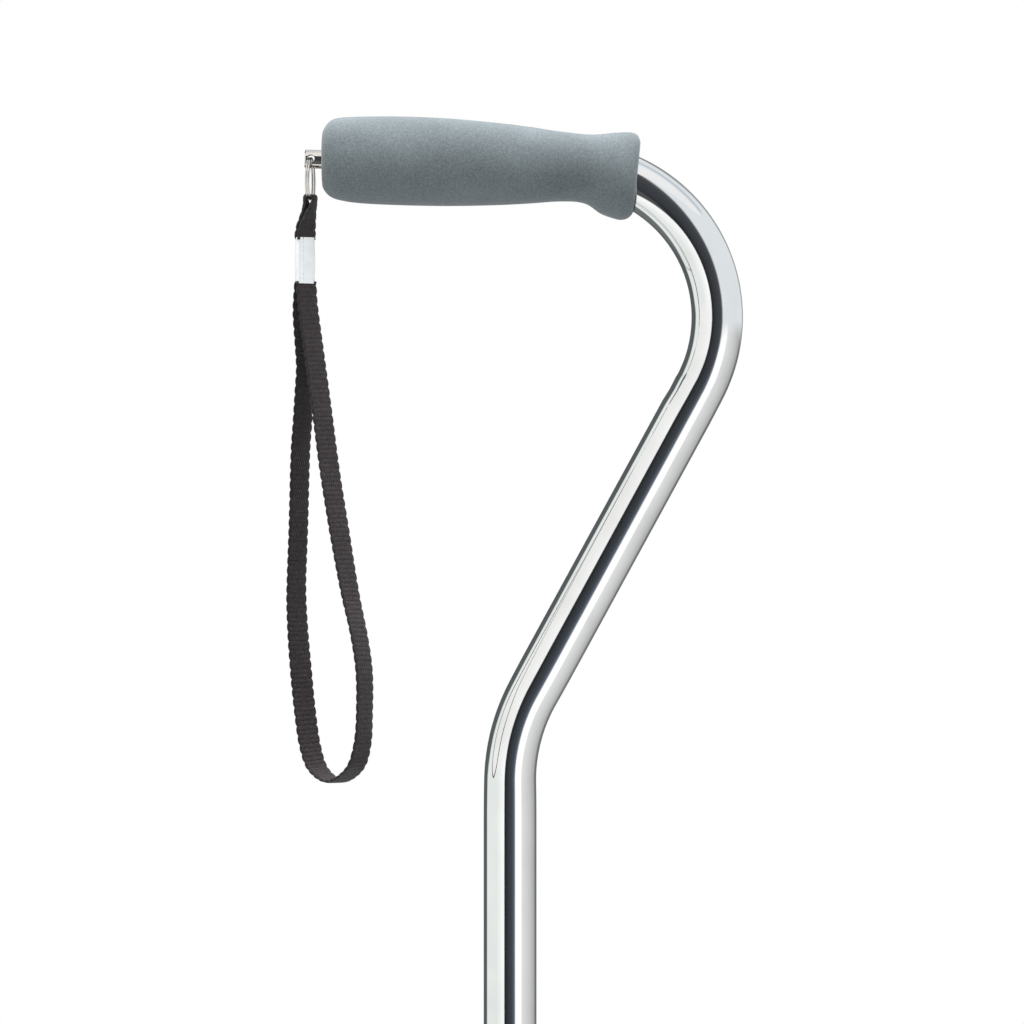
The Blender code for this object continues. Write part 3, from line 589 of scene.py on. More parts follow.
def handle_line(bottom, end_x, straight_step, turn_step):
    """The bent tube's centre line from a height on the shaft to the handle's end."""
    rise = math.tan(HANDLE_TILT)
    meet_x = (HANDLE_AXIS_Z - LOWER_CORNER_Z) * math.tan(SLANT) / (1 + rise * math.tan(SLANT))
    corners = [
        (0, 0, bottom),
        (0, 0, LOWER_CORNER_Z),
        (meet_x, 0, handle_axis_z(meet_x)),
        (end_x, 0, handle_axis_z(end_x)),
    ]
    radii = [LOWER_BEND_RADIUS, UPPER_BEND_RADIUS]
    return SHAFT + rounded_path(corners, radii, straight_step, turn_step)


def bent_wall(path, radius, sides, flattening):
    """The tube's wall along its path, narrower in the bends' plane and wider across it.

    Curvature, evened out over a few rows, sets how much: the radius in the plane shrinks
    by the flattening, and across it grows by two thirds of that. Three shallow dents lie
    on the inner side where the upper bend begins.
    """
    tangent = unit(np.gradient(path, axis=0))
    run = np.r_[0, np.cumsum(np.linalg.norm(np.diff(path, axis=0), axis=1))]
    bend = np.linalg.norm(np.gradient(tangent, run, axis=0), axis=1) * UPPER_BEND_RADIUS
    window = np.exp(-(((run[:, None] - run) / 0.008) ** 2)) * np.gradient(run)
    share = np.clip(window @ bend / window.sum(axis=1), 0, 1)
    angle = np.arange(sides) * 2 * math.pi / sides
    in_plane = np.sin(angle) ** 2
    change = (2 / 3 * (1 - in_plane) - in_plane)[None] * share[:, None] * flattening
    dent_run = run[np.argmin(np.linalg.norm(path - DENT_PLACE, axis=1))]
    away = run - dent_run
    ripple = np.exp(-((away / 0.007) ** 2)) * np.cos(2 * math.pi * away / 0.0085)
    inner = np.clip(np.sin(angle), 0, 1) ** 2 * (1 - 0.6 * np.cos(angle))
    dent = DENT_DEPTH * ripple[:, None] * inner[None]
    return swept(path, radius * (1 + change) - dent, ASIDE, sides, False)


def pierced_cell(radius, hole_radius, half_columns, column_angle, half_height, rows, rings):
    """Angle and height, from the hole's middle, of a grid between a round hole drilled
    square through a round wall and the edge of its cell.

    The cell's edge has evenly set points; each is joined by a straight row in angle and
    height to the point of the hole in its own direction. The first row is the hole.
    """
    across = np.linspace(-1, 1, 2 * half_columns + 1)[:-1]
    up = np.linspace(-1, 1, rows + 1)[:-1]
    edge_a = np.r_[across, 1 + 0 * up, -across, 0 * up - 1] * half_columns * column_angle
    edge_z = np.r_[0 * across - 1, up, 1 + 0 * across, -up] * half_height
    way = np.arctan2(edge_z, np.sin(edge_a) * radius)
    hole_a = np.arcsin(hole_radius * np.cos(way) / radius)
    hole_z = hole_radius * np.sin(way)
    share = np.linspace(0, 1, rings + 1)[:, None] ** 1.4
    return hole_a + share * (edge_a - hole_a), hole_z + share * (edge_z - hole_z)


def about_axis(origin, axis, facing, radius, angle, height):
    """Points about an axis; the angle turns from the facing direction."""
    beside = np.cross(axis, facing)
    out = np.cos(angle)[..., None] * facing + np.sin(angle)[..., None] * beside
    return origin + np.asarray(radius)[..., None] * out + height[..., None] * axis


def pierced_wall(origin, axis, facings, radii, sides, hole_radius, heights, pitch):
    """Grids of a straight round wall with holes towards the facing directions.

    Between the holes' cells the wall is a plain grid. In a pipe, given by two radii, each
    hole's edges on the two walls are joined; in a solid bar, given by one, those of the
    two sides are.
    """
    step = 2 * math.pi / sides
    half_columns, rows = sides // 8, 10
    last = sides // len(facings) - half_columns
    angle = np.arange(half_columns, last + 1) * step
    height = np.linspace(min(heights) - pitch / 2, max(heights) + pitch / 2, rows * len(heights) + 1)
    grids = []
    for radius in radii:
        for facing in facings:
            plain = about_axis(origin, axis, facing, radius, *np.meshgrid(angle, height))
            grids.append((plain, False, False))
    for middle in heights:
        edges = []
        for facing in facings:
            for radius in radii:
                cell = pierced_cell(radius, hole_radius, half_columns, step, pitch / 2, rows, 5)
                grid = about_axis(origin + axis * middle, axis, facing, radius, *cell)
                grids.append(grid)
                edges.append(grid[0])
        if len(radii) == 1:
            count = len(edges[1])
            edges[1] = edges[1][(2 * half_columns - np.arange(count)) % count]
        for pair in zip(edges[::2], edges[1::2]):
            grids.append(np.array(pair))
    return grids


def make_handle_tube(look):
    """Straight pierced part, then the bent part, with both walls joined at the ends."""
    inner = TUBE_RADIUS - TUBE_WALL
    top = BUTTON_Z + HOLE_PITCH / 2
    bottom = BUTTON_Z - (HOLE_COUNT - 0.5) * HOLE_PITCH
    hole_zs = BUTTON_Z - HOLE_PITCH * np.arange(HOLE_COUNT)
    walls = (TUBE_RADIUS, inner)
    grids = pierced_wall(SHAFT, UP, (AHEAD, -AHEAD), walls, TUBE_SIDES, HOLE_RADIUS, hole_zs, HOLE_PITCH)
    line = handle_line(top, HANDLE_TUBE_END_X, 0.006, math.radians(1.3))
    foot = SHAFT + np.linspace((0, 0, HANDLE_TUBE_BOTTOM), (0, 0, bottom), 4)
    rims = []
    for radius in walls:
        bent = bent_wall(line, radius, TUBE_SIDES, BEND_FLATTENING)
        straight = swept(foot, radius, ASIDE, TUBE_SIDES, False)
        grids += [bent, straight]
        rims.append((straight[0], bent[-1]))
    for outside, inside in zip(*rims):
        grids.append(np.array([outside, inside]))
    return new_piece("bent_tube", grids, look)


chrome = make_metal_look("chrome_plate", (0.86, 0.865, 0.87), 0.030, 0.025, 0.04, 45.0, relief=0.05)
bent_tube = make_handle_tube(chrome)
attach(bent_tube, "upper")
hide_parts("handle_tube")


# ---- foam grip ----
# A moulded sleeve of soft grey foam, pushed over the tube's end while wet. It swells under
# the palm, narrows to a waist and ends in a thick bead before the bend.
GRIP_END_X = -0.0791
GRIP_END_WALL = 0.0021
GRIP_SIDE_RATIO = 0.94
GRIP_SIDES = 96
FIT_GAP = 0.0003
STUD_RADIUS = 0.0039
END_CLEARANCE = 0.0006
BORE_OVERRUN = 0.012
FOAM_COLOUR = (0.153, 0.179, 0.190, 1)
# millimetres: along to the section's top, height above the tube's axis there, along to
# its bottom, depth below the axis
GRIP_SECTIONS = [
    (0.0, 9.5, 0.0, 9.5),
    (0.5, 12.2, 0.5, 12.2),
    (2.9, 15.8, 2.9, 15.1),
    (7.1, 17.7, 7.1, 16.8),
    (16.4, 18.5, 16.4, 17.9),
    (33.2, 19.1, 33.2, 18.2),
    (53.4, 18.9, 53.4, 17.9),
    (73.6, 17.7, 73.6, 16.9),
    (87.0, 16.5, 87.0, 15.8),
    (100.5, 14.9, 100.5, 14.5),
    (110.6, 14.3, 110.6, 14.9),
    (117.3, 15.5, 117.3, 18.0),
    (124.0, 18.1, 124.0, 18.4),
    (130.0, 20.0, 127.5, 16.5),
    (132.8, 19.8, 129.6, 14.2),
    (133.9, 17.8, 130.7, 12.3),
]


def cut_by_end(bore, rim):
    """The bore's rows cut off by the plane of the sleeve's end: what lies past the plane
    along each line of the bore is drawn back to where the line crosses it."""
    top, bottom = rim[rim[:, 2].argmax()], rim[rim[:, 2].argmin()]
    square = unit(np.cross(ASIDE, top - bottom))
    past = (bore - bottom) @ square + END_CLEARANCE
    first = np.argmax(past < 0, axis=0)
    column = np.arange(bore.shape[1])
    outer, inner = past[first - 1, column], past[first, column]
    share = (outer / (outer - inner))[:, None]
    crossing = bore[first - 1, column] * (1 - share) + bore[first, column] * share
    return np.where(past[..., None] < 0, bore, crossing)


def grip_surface():
    """The sleeve's outside, its far rim, its bore along the tube, and the stud's hole.

    An outside section is two half ovals, one over and one under the tube's axis. The
    sections follow a smooth curve through the listed ones. The bore's rings stand square
    to the tube's line.
    """
    line = handle_line(HANDLE_TUBE_BOTTOM, GRIP_END_X, 0.002, math.radians(1.0))
    upper = line[line[:, 2] > HANDLE_AXIS_Z - UPPER_BEND_RADIUS]
    upper = upper[np.argsort(upper[:, 0])]
    sections = smooth_through(np.array(GRIP_SECTIONS) / 1000, 190)
    top_x, above, bottom_x, below = sections.T
    origin_x = GRIP_END_X + shaft_x
    middle_x = origin_x + bottom_x + (top_x - bottom_x) * below / (above + below)
    middle_z = np.interp(middle_x, upper[:, 0], upper[:, 2])
    angle = np.arange(GRIP_SIDES) * 2 * math.pi / GRIP_SIDES
    rise = np.sin(angle)
    upward, downward = np.clip(rise, 0, 1), np.clip(-rise, 0, 1)
    x = middle_x[:, None] + upward * (origin_x + top_x - middle_x)[:, None]
    x = x + downward * (origin_x + bottom_x - middle_x)[:, None]
    z = middle_z[:, None] + upward * above[:, None] - downward * below[:, None]
    y = shaft_y + np.cos(angle) * (GRIP_SIDE_RATIO * (above + below) / 2)[:, None]
    outside = np.stack([x, y, z], axis=-1)
    line = handle_line(HANDLE_TUBE_BOTTOM, GRIP_END_X + GRIP_END_WALL, 0.004, math.radians(2))
    line = line[line[:, 2] > HANDLE_AXIS_Z - UPPER_BEND_RADIUS]
    line = line[line[:, 0] < outside[-1, :, 0].max() + BORE_OVERRUN]
    bore = cut_by_end(swept(line, TUBE_RADIUS + FIT_GAP, ASIDE, GRIP_SIDES, False), outside[-1])
    stud_x = np.array([GRIP_END_X + GRIP_END_WALL, GRIP_END_X])
    stud_line = SHAFT + np.stack([stud_x, 0 * stud_x, handle_axis_z(stud_x)], axis=1)
    hole = swept(stud_line, STUD_RADIUS + FIT_GAP, ASIDE, GRIP_SIDES, False)
    inside = np.roll(np.concatenate([bore, hole])[:, ::-1], 1, axis=1)
    return np.concatenate([outside, inside])


def make_foam_look():
    """Closed-cell foam: a sandy skin of fine cells with a few open pores, their sunken middles darkened as
    painted shade.
    """
    look, tree, shader = new_look("grey_foam", Roughness=0.92, Sheen_Weight=0.25, Sheen_Roughness=0.4)
    cells = noise(tree, own_place(tree), 1150.0, 5.0, Roughness=0.75)
    values = {"Vector": own_place(tree), "Scale": 1300.0}
    pore = add_node(tree, "ShaderNodeTexVoronoi", values).outputs["Distance"]
    cloud = noise(tree, own_place(tree), 45.0, 3.0)
    speckle = ramp(tree, cells, [(0.30, 0.70), (0.50, 1.0), (0.70, 1.34)])
    shade = ramp(tree, cloud, [(0.3, 0.90), (0.7, 1.10)])
    # painted shade: darker in the middle of each pore, where the bump sinks
    pore_shade = ramp(tree, pore, [(0.10, 0.80), (0.24, 1.0)])
    base = times(tree, times(tree, times(tree, FOAM_COLOUR, speckle), shade), pore_shade)
    tree.links.new(base, shader.inputs["Base Color"])
    height = reckon(tree, "MULTIPLY_ADD", cells, 0.7, reckon(tree, "MINIMUM", pore, 0.25))
    link_bump(tree, shader, height, 0.55, 0.00022)
    return look


foam_grip = new_piece("foam_sleeve", [(grip_surface(), True, True)], make_foam_look(), sharp=60)
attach(foam_grip, "upper")
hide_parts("foam_grip")


# ---- strap stud ----
# A nickel-plated pin through the handle's end plug, with a cross hole that the split ring
# hangs in. Its head is inside the tube.
STUD_TIP_X = -0.0863
STUD_HOLE_X = -0.0838
STUD_HOLE_RADIUS = 0.0017
STUD_CELL = 0.0042
STUD_HEAD_AT = 0.0279
STUD_HEAD_RADIUS = 0.0062
STUD_LENGTH = 0.0309


def softened(outline, size):
    """An outline with its corners rounded: each is cut back by the size along both edges
    and bridged by a parabola. Corners on the turning axis stay sharp."""
    outline = np.asarray(outline, float)
    before, after = np.roll(outline, 1, axis=0) - outline, np.roll(outline, -1, axis=0) - outline
    keep = (outline[:, 0] > 0)[:, None]
    starts = outline + keep * unit(before) * np.minimum(size, 0.4 * np.linalg.norm(before, axis=1))[:, None]
    ends = outline + keep * unit(after) * np.minimum(size, 0.4 * np.linalg.norm(after, axis=1))[:, None]
    t = np.linspace(0, 1, 5)[None, :, None]
    curves = (1 - t) ** 2 * starts[:, None] + 2 * t * (1 - t) * outline[:, None] + t**2 * ends[:, None]
    return curves.reshape(-1, 2)


def turned(outline, origin, axis, facing, sides):
    """The grid of a (radius, height) outline turned about an axis."""
    radius, height = np.asarray(outline, float).T
    angle = np.arange(sides) * 2 * math.pi / sides
    grid = np.broadcast_arrays(radius[:, None], angle[None], height[:, None])
    return about_axis(origin, axis, facing, *grid)


handle_in = np.array([math.cos(HANDLE_TILT), 0, -math.sin(HANDLE_TILT)])
stud_tip = SHAFT + [STUD_TIP_X, 0, handle_axis_z(STUD_TIP_X)]
stud_hole_at = (STUD_HOLE_X - STUD_TIP_X) / math.cos(HANDLE_TILT)
cell_low, cell_high = stud_hole_at - STUD_CELL / 2, stud_hole_at + STUD_CELL / 2
tip_end = [(0, 0), (STUD_RADIUS - 0.0004, 0), (STUD_RADIUS, cell_low)]
inner_end = [
    (STUD_RADIUS, cell_high),
    (STUD_RADIUS, STUD_HEAD_AT),
    (STUD_HEAD_RADIUS, STUD_HEAD_AT),
    (STUD_HEAD_RADIUS, STUD_LENGTH),
    (0, STUD_LENGTH),
]
stud_grids = pierced_wall(
    stud_tip, handle_in, (ASIDE, -ASIDE), (STUD_RADIUS,), 48, STUD_HOLE_RADIUS, [stud_hole_at], STUD_CELL
)
for outline in (tip_end, inner_end):
    stud_grids.append(turned(outline, stud_tip, handle_in, ASIDE, 48))
strap_stud = new_piece("stud_pin", stud_grids, nickel)
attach(strap_stud, "upper")
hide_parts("strap_stud")


# ---- snap button ----
# A pressed steel button on a bent spring strip inside the lower tube. Its low dome stands
# just proud of the handle tube's wall.
BUTTON_RADIUS = 0.0040
DOME_HEIGHT = 0.0016

button_low, button_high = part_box("snap_button")
button_length = button_high.x - button_low.x
button_base = np.array([button_low.x, shaft_y, BUTTON_Z])
dome_angle = np.linspace(0, math.pi / 2, 12)
dome_height = button_length + DOME_HEIGHT * (np.sin(dome_angle) - 1)
dome = np.stack([BUTTON_RADIUS * np.cos(dome_angle), dome_height], 1)
dome[-1, 0] = 0
outline = np.vstack([[(0, 0), (BUTTON_RADIUS, 0)], dome])
snap_button = new_piece("button_cap", [turned(outline, button_base, AHEAD, UP, 64)], nickel)
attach(snap_button, "button")
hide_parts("snap_button")


# ---- lower tube ----
# A chromed tube that slides inside the handle tube, with one hole for the snap button. It
# shows between the collar and the hub, and more of it as the cane is made longer.
LOWER_RADIUS = 0.009525
LOWER_WALL = 0.0012

tube_ends = shaft_low.z, shaft_high.z
walls = LOWER_RADIUS, LOWER_RADIUS - LOWER_WALL
lower_grids = pierced_wall(SHAFT, UP, (AHEAD,), walls, TUBE_SIDES, HOLE_RADIUS, [BUTTON_Z], HOLE_PITCH)
cell = BUTTON_Z - HOLE_PITCH / 2, BUTTON_Z + HOLE_PITCH / 2
rims = []
for radius in walls:
    for low, high in ((tube_ends[0], cell[0]), (cell[1], tube_ends[1])):
        heights = np.linspace(low, high, 12)
        outline = np.stack([0 * heights + radius, heights], 1)
        lower_grids.append(turned(outline, SHAFT, UP, ASIDE, TUBE_SIDES))
        rims.append(lower_grids[-1])
lower_grids += [np.array([rims[0][0], rims[2][0]]), np.array([rims[1][-1], rims[3][-1]])]
inner_tube = new_piece("inner_tube", lower_grids, chrome)
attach(inner_tube, "base")
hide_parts("lower_tube")


# ---- thread sleeve and lock collar ----
# The sleeve is moulded nylon, pressed on the handle tube's lower end. The collar screws up
# on it by hand and squeezes a split ring on the lower tube; 14 flutes give the fingers hold.
COLLAR_RADIUS = 0.0160
COLLAR_BORE = 0.010025
SLEEVE_RADIUS = 0.0129
COLLAR_FLUTES = 14
FLUTE_DEPTH = 0.0011
COLLAR_FLOOR_Z = 0.1097
COLLAR_SIDES = 14 * COLLAR_FLUTES
THREAD_TURNS = 8
THREAD_DEPTH = 0.0004
NYLON_COLOUR = (0.030, 0.031, 0.033, 1)


def make_moulded_grain():
    """The spark-eroded skin of moulded plastic and rubber: fine even grain, and a slow
    cloudiness where the melt flowed."""
    tree, given, result = new_group("moulded_grain", {"Size": 2200.0}, ["Grain", "Cloud"])
    grain = noise(tree, own_place(tree), given["Size"], 3.0, Roughness=0.6)
    tree.links.new(grain, result["Grain"])
    tree.links.new(noise(tree, own_place(tree), 90.0, 4.0), result["Cloud"])
    return tree


moulded_grain = make_moulded_grain()


def make_moulded_look(name, colour, roughness, grain_depth, size=2200.0):
    """A moulded plastic or rubber: its grain sets the normal, its cloudiness the sheen."""
    look, tree, shader = new_look(name)
    skin = add_node(tree, "ShaderNodeGroup", node_tree=moulded_grain)
    skin.inputs["Size"].default_value = size
    tone = ramp(tree, skin.outputs["Cloud"], [(0.3, 0.86), (0.7, 1.12)])
    fine = ramp(tree, skin.outputs["Grain"], [(0.3, 0.88), (0.7, 1.08)])
    tree.links.new(times(tree, times(tree, colour, tone), fine), shader.inputs["Base Color"])
    rough = reckon(tree, "MULTIPLY_ADD", skin.outputs["Cloud"], 0.22, roughness - 0.11)
    tree.links.new(rough, shader.inputs["Roughness"])
    link_bump(tree, shader, skin.outputs["Grain"], 0.5, grain_depth)
    return look


collar_low, collar_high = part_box("locking_collar")
sleeve_low, sleeve_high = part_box("thread_sleeve")
nylon = make_moulded_look("moulded_nylon", NYLON_COLOUR, 0.45, 0.00006)
bottom, top = collar_low.z, collar_high.z
band = np.linspace(bottom + 0.0012, top - 0.0060, 12)
outside = [(COLLAR_BORE, bottom), (COLLAR_RADIUS - 0.0012, bottom)]
outside += [(COLLAR_RADIUS, z) for z in band]
outside += [(COLLAR_RADIUS - 0.0018, top), (SLEEVE_RADIUS + FIT_GAP, top)]
outside += [(SLEEVE_RADIUS + FIT_GAP, COLLAR_FLOOR_Z), (COLLAR_BORE, COLLAR_FLOOR_Z)]
outline = softened(outside, 0.0006)
grid = turned(outline, SHAFT, UP, AHEAD, COLLAR_SIDES)
run_out = [bottom + 0.0022, bottom + 0.0062, top - 0.0110, top - 0.0068]
fluted = np.interp(outline[:, 1], run_out, [0, 1, 1, 0])
fluted = fluted * (outline[:, 0] > 0.97 * COLLAR_RADIUS)
around = np.arange(COLLAR_SIDES) * 2 * math.pi / COLLAR_SIDES
hollow = FLUTE_DEPTH * np.sqrt(0.5 - 0.5 * np.cos(around * COLLAR_FLUTES))
inward = unit((grid - SHAFT) * [1, 1, 0])
grid = grid - (fluted[:, None] * hollow)[..., None] * inward
collar = new_piece("fluted_collar", [(grid, True, True)], nylon)
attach(collar, "collar")
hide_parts("locking_collar")

step_z = HANDLE_TUBE_BOTTOM - FIT_GAP
sleeve_bore = LOWER_RADIUS + 0.0004
place = np.arange(8 * THREAD_TURNS + 5)
threads = np.linspace(sleeve_low.z + 0.003, sleeve_low.z + 0.020, len(place))
root = THREAD_DEPTH * (0.5 + 0.5 * np.cos(place * math.pi / 4))
crests = SLEEVE_RADIUS - root * np.interp(place, [0, 4, 8 * THREAD_TURNS, place[-1]], [0, 1, 1, 0])
outside = [(sleeve_bore, sleeve_low.z), (SLEEVE_RADIUS, sleeve_low.z)]
outside += list(zip(crests, threads))
outside += [(SLEEVE_RADIUS, sleeve_high.z - 0.0010), (SLEEVE_RADIUS - 0.0005, sleeve_high.z)]
outside += [(TUBE_RADIUS + FIT_GAP, sleeve_high.z), (TUBE_RADIUS + FIT_GAP, step_z), (sleeve_bore, step_z)]
grid = turned(outside, SHAFT, UP, AHEAD, TUBE_SIDES)
sleeve = new_piece("threaded_sleeve", [(grid, True, True)], nylon)
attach(sleeve, "upper")
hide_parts("thread_sleeve")


# ---- hub ----
# A painted steel cup that the lower tube stands in, with a grooved saddle welded on each
# side for the middle of a leg tube.
HUB_RADIUS = LOWER_RADIUS + 0.0045
LEG_RADIUS = 0.00795
LEG_WALL = 0.0012
LEG_APEX_X = HUB_RADIUS + LEG_RADIUS + 0.00035
LEG_APEX_Z = 0.083
SADDLE_HALF_HEIGHT = 0.0125
SADDLE_HALF_WIDTH = 0.0090
SADDLE_ROOT = 0.0020
SADDLE_REACH = 0.0056
BEAD_RADIUS = 0.0016
BEAD_PITCH = 0.0016


def make_painted_look():
    """Hammered grey powder coat: slow dimples and fine speckle."""
    look, tree, shader = new_look("painted_steel", Metallic=0.25, Coat_Weight=0.35, Coat_Roughness=0.25)
    dimple = noise(tree, own_place(tree), 420.0, 1.5)
    fleck = noise(tree, own_place(tree), 3200.0, 2.0)
    tone = ramp(tree, fleck, [(0.35, (0.105, 0.108, 0.112)), (0.7, (0.165, 0.168, 0.174))])
    tree.links.new(tone, shader.inputs["Base Color"])
    tree.links.new(reckon(tree, "MULTIPLY_ADD", dimple, 0.2, 0.28), shader.inputs["Roughness"])
    link_bump(tree, shader, dimple, 0.35, 0.0002)
    return look


def saddle_grids(way):
    """A block from the hub's wall outward, with a round groove for the leg tube.

    Its section has a straight side at the hub and a side that follows the groove, both
    with the same number of points; it runs from one width's end to the other.
    """
    near, far = HUB_RADIUS - SADDLE_ROOT, HUB_RADIUS + SADDLE_REACH
    groove = LEG_RADIUS + FIT_GAP
    reach = math.acos((LEG_APEX_X - far) / groove)
    angle = np.linspace(-reach, reach, 31)
    arc = np.stack([LEG_APEX_X - groove * np.cos(angle), groove * np.sin(angle)], axis=1)
    outer = np.vstack([[(far, -SADDLE_HALF_HEIGHT)], arc, [(far, SADDLE_HALF_HEIGHT)]])
    inner = np.stack([np.full(len(outer), near), np.linspace(-1, 1, len(outer)) * SADDLE_HALF_HEIGHT], 1)
    middle = SHAFT + [0, 0, LEG_APEX_Z]
    sections = []
    for side in (-1, 1):
        for points in (outer, inner):
            y = np.full(len(points), side * SADDLE_HALF_WIDTH)
            sections.append(middle + np.stack([way * points[:, 0], y, points[:, 1]], axis=1))
    front_outer, front_inner, back_outer, back_inner = sections
    loops = [np.vstack([a, b[::-1]]) for a, b in ((front_outer, front_inner), (back_outer, back_inner))]
    return [
        np.array(loops),
        (np.array([front_outer, front_inner]), False, False),
        (np.array([back_outer, back_inner]), False, False),
    ]


painted = make_painted_look()
hub_low, hub_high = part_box("base_hub")
seat = shaft_low.z - FIT_GAP
outline = [(0, hub_low.z), (HUB_RADIUS, hub_low.z), (HUB_RADIUS, hub_high.z)]
outline += [(LOWER_RADIUS + FIT_GAP, hub_high.z), (LOWER_RADIUS + FIT_GAP, seat), (0, seat)]
hub_grids = [turned(softened(outline, 0.0010), SHAFT, UP, AHEAD, 96)]
for way in (1, -1):
    for side in (1, -1):
        heights = np.linspace(-SADDLE_HALF_HEIGHT, SADDLE_HALF_HEIGHT, 90)
        foot = np.array([way * (HUB_RADIUS - 0.0024), side * (SADDLE_HALF_WIDTH + 0.0002), LEG_APEX_Z])
        bead = SHAFT + foot + heights[:, None] * UP
        ripple = BEAD_RADIUS * (1 + 0.08 * np.cos(heights * 2 * math.pi / BEAD_PITCH))
        hub_grids.append(swept(bead, ripple[:, None], AHEAD, 20))
hub_cup = new_piece("hub_cup", hub_grids, painted)
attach(hub_cup, "base")
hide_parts("base_hub")
saddles = new_piece("hub_saddles", saddle_grids(1) + saddle_grids(-1), painted)
edge = saddles.modifiers.new("eased_edges", "BEVEL")
edge.width = 0.0007
edge.segments = 3
edge.limit_method = "ANGLE"
edge.angle_limit = math.radians(40)
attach(saddles, "base")


# ---- leg tubes ----
# Two chromed tubes, each bent to run down from the hub to one foot in front of the hand
# side and one behind, so that the base stands on four points.
FOOT_X = 0.0685
FOOT_OUTER_Y = 0.137
FOOT_INNER_Y = -0.051
LEG_SHOULDER_Z = 0.079
LEG_HALF_FLAT = 0.020
LEG_BOTTOM = 0.0111
LEG_BENDS = [0.026, 0.020, 0.018, 0.022]

for name, way in (("front", 1), ("rear", -1)):
    corners = [
        (way * FOOT_X, FOOT_OUTER_Y, LEG_BOTTOM),
        (way * FOOT_X, FOOT_OUTER_Y, LEG_SHOULDER_Z),
        (way * LEG_APEX_X, LEG_HALF_FLAT, LEG_APEX_Z),
        (way * LEG_APEX_X, -LEG_HALF_FLAT, LEG_APEX_Z),
        (way * FOOT_X, FOOT_INNER_Y, LEG_SHOULDER_Z),
        (way * FOOT_X, FOOT_INNER_Y, LEG_BOTTOM),
    ]
    line = SHAFT + rounded_path(corners, LEG_BENDS, 0.005, math.radians(3))
    skin = swept(line, LEG_RADIUS, AHEAD, 56, False)
    lining = swept(line, LEG_RADIUS - LEG_WALL, AHEAD, 56, False)
    shell = np.concatenate([skin, lining[::-1]])
    leg = new_piece(f"{name}_leg", [(shell, True, True)], chrome)
    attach(leg, "base")
    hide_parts(f"{name}_leg_tube")


# ---- rubber tips ----
# Moulded grey rubber ferrules pushed over the legs' ends. They flare to a wide foot with
# ring-shaped treads underneath, and three raised bands stiffen the sleeve.
TREAD_DEPTH = 0.0012
TREAD_RADII = [0.0030, 0.0052, 0.0074, 0.0096, 0.0114]
BAND_ZS = [0.0150, 0.0205, 0.0260]
TIP_HEIGHT = 0.0360
SOCKET_FLOOR = 0.0090
RUBBER_COLOUR = (0.075, 0.078, 0.081, 1)


def make_rubber_look():
    """Grey rubber: moulded grain, and pale dust that lies on what faces up."""
    look = make_moulded_look("tip_rubber", RUBBER_COLOUR, 0.72, 0.00009, 1500.0)
    tree = look.node_tree
    shader = tree.nodes["Principled BSDF"]
    plain = shader.inputs["Base Color"].links[0].from_socket
    normal = add_node(tree, "ShaderNodeNewGeometry").outputs["Normal"]
    facing_up = reckon(tree, "MAXIMUM", split(tree, normal)["Z"], 0.0)
    settled = reckon(tree, "MULTIPLY", facing_up, noise(tree, own_place(tree), 260.0, 6.0))
    mask = ramp(tree, settled, [(0.05, 0.0), (0.45, 0.35)])
    dusty = blend_colours(tree, mask, plain, (0.30, 0.29, 0.27, 1))
    tree.links.new(dusty, shader.inputs["Base Color"])
    return look


def tip_outline():
    """Treads from the middle outward, the flare, the banded sleeve, and the socket."""
    outline = [(0, TREAD_DEPTH)]
    for i, radius in enumerate(TREAD_RADII):
        low, high = (0, TREAD_DEPTH) if i % 2 else (TREAD_DEPTH, 0)
        outline += [(radius, low), (radius + 0.0002, high)]
    outline += [(0.0137, 0), (0.0140, 0.0004), (0.0140, 0.0040), (0.0124, 0.0080), (0.0117, 0.0110)]
    for z in BAND_ZS:
        radius = 0.0115 - 0.05 * (z - BAND_ZS[0])
        outline += [(radius, z - 0.0013), (radius + 0.0005, z - 0.0009)]
        outline += [(radius + 0.0005, z + 0.0009), (radius, z + 0.0013)]
    outline += [(0.0107, 0.0335), (0.0107, 0.0352), (0.0101, TIP_HEIGHT)]
    socket = LEG_RADIUS + FIT_GAP
    return outline + [(socket, TIP_HEIGHT), (socket, SOCKET_FLOOR), (0, SOCKET_FLOOR)]


rubber = make_rubber_look()
for corner in ("front_outer", "front_inner", "rear_outer", "rear_inner"):
    low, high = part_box(f"tip_{corner}")
    middle = np.array([(low.x + high.x) / 2, (low.y + high.y) / 2, 0])
    grid = turned(softened(tip_outline(), 0.0004), middle, UP, AHEAD, 72)
    tip = new_piece(f"rubber_tip_{corner}", [grid], rubber)
    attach(tip, "base")
    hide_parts(f"tip_{corner}")


# ---- hub fasteners ----
# One zinc-plated hexagon bolt clamps both leg tubes, the hub and the lower tube together,
# with a washer under its head and under the nut.
BOLT_RADIUS = 0.0030
HEX_CORNER = 0.0058
HEX_FACE = 0.0051
HEX_CHAMFER = 0.0006
WASHER_RADIUS = 0.0062
WASHER_THICK = 0.0012
HEAD_THICK = 0.0035
NUT_THICK = 0.0050

zinc = make_metal_look("zinc_plate", (0.62, 0.64, 0.66), 0.34, 0.18, 0.10, 250.0, 3.0)
bolt_middle = SHAFT + [0, 0, LEG_APEX_Z]
clamp_face = LEG_APEX_X + LEG_RADIUS + FIT_GAP


def hexagon_grid(origin, axis, outline, hexed, sides=96):
    """A turned outline whose marked rows are also trimmed to the flats of a hexagon."""
    radius, height = np.asarray(outline, float).T
    angle = np.arange(sides) * 2 * math.pi / sides
    flats = HEX_CORNER * math.cos(math.pi / 6) / np.cos(angle % (math.pi / 3) - math.pi / 6)
    reach = np.where(np.asarray(hexed)[:, None], np.minimum(radius[:, None], flats), radius[:, None])
    return about_axis(origin, axis, UP, *np.broadcast_arrays(reach, angle[None], height[:, None]))


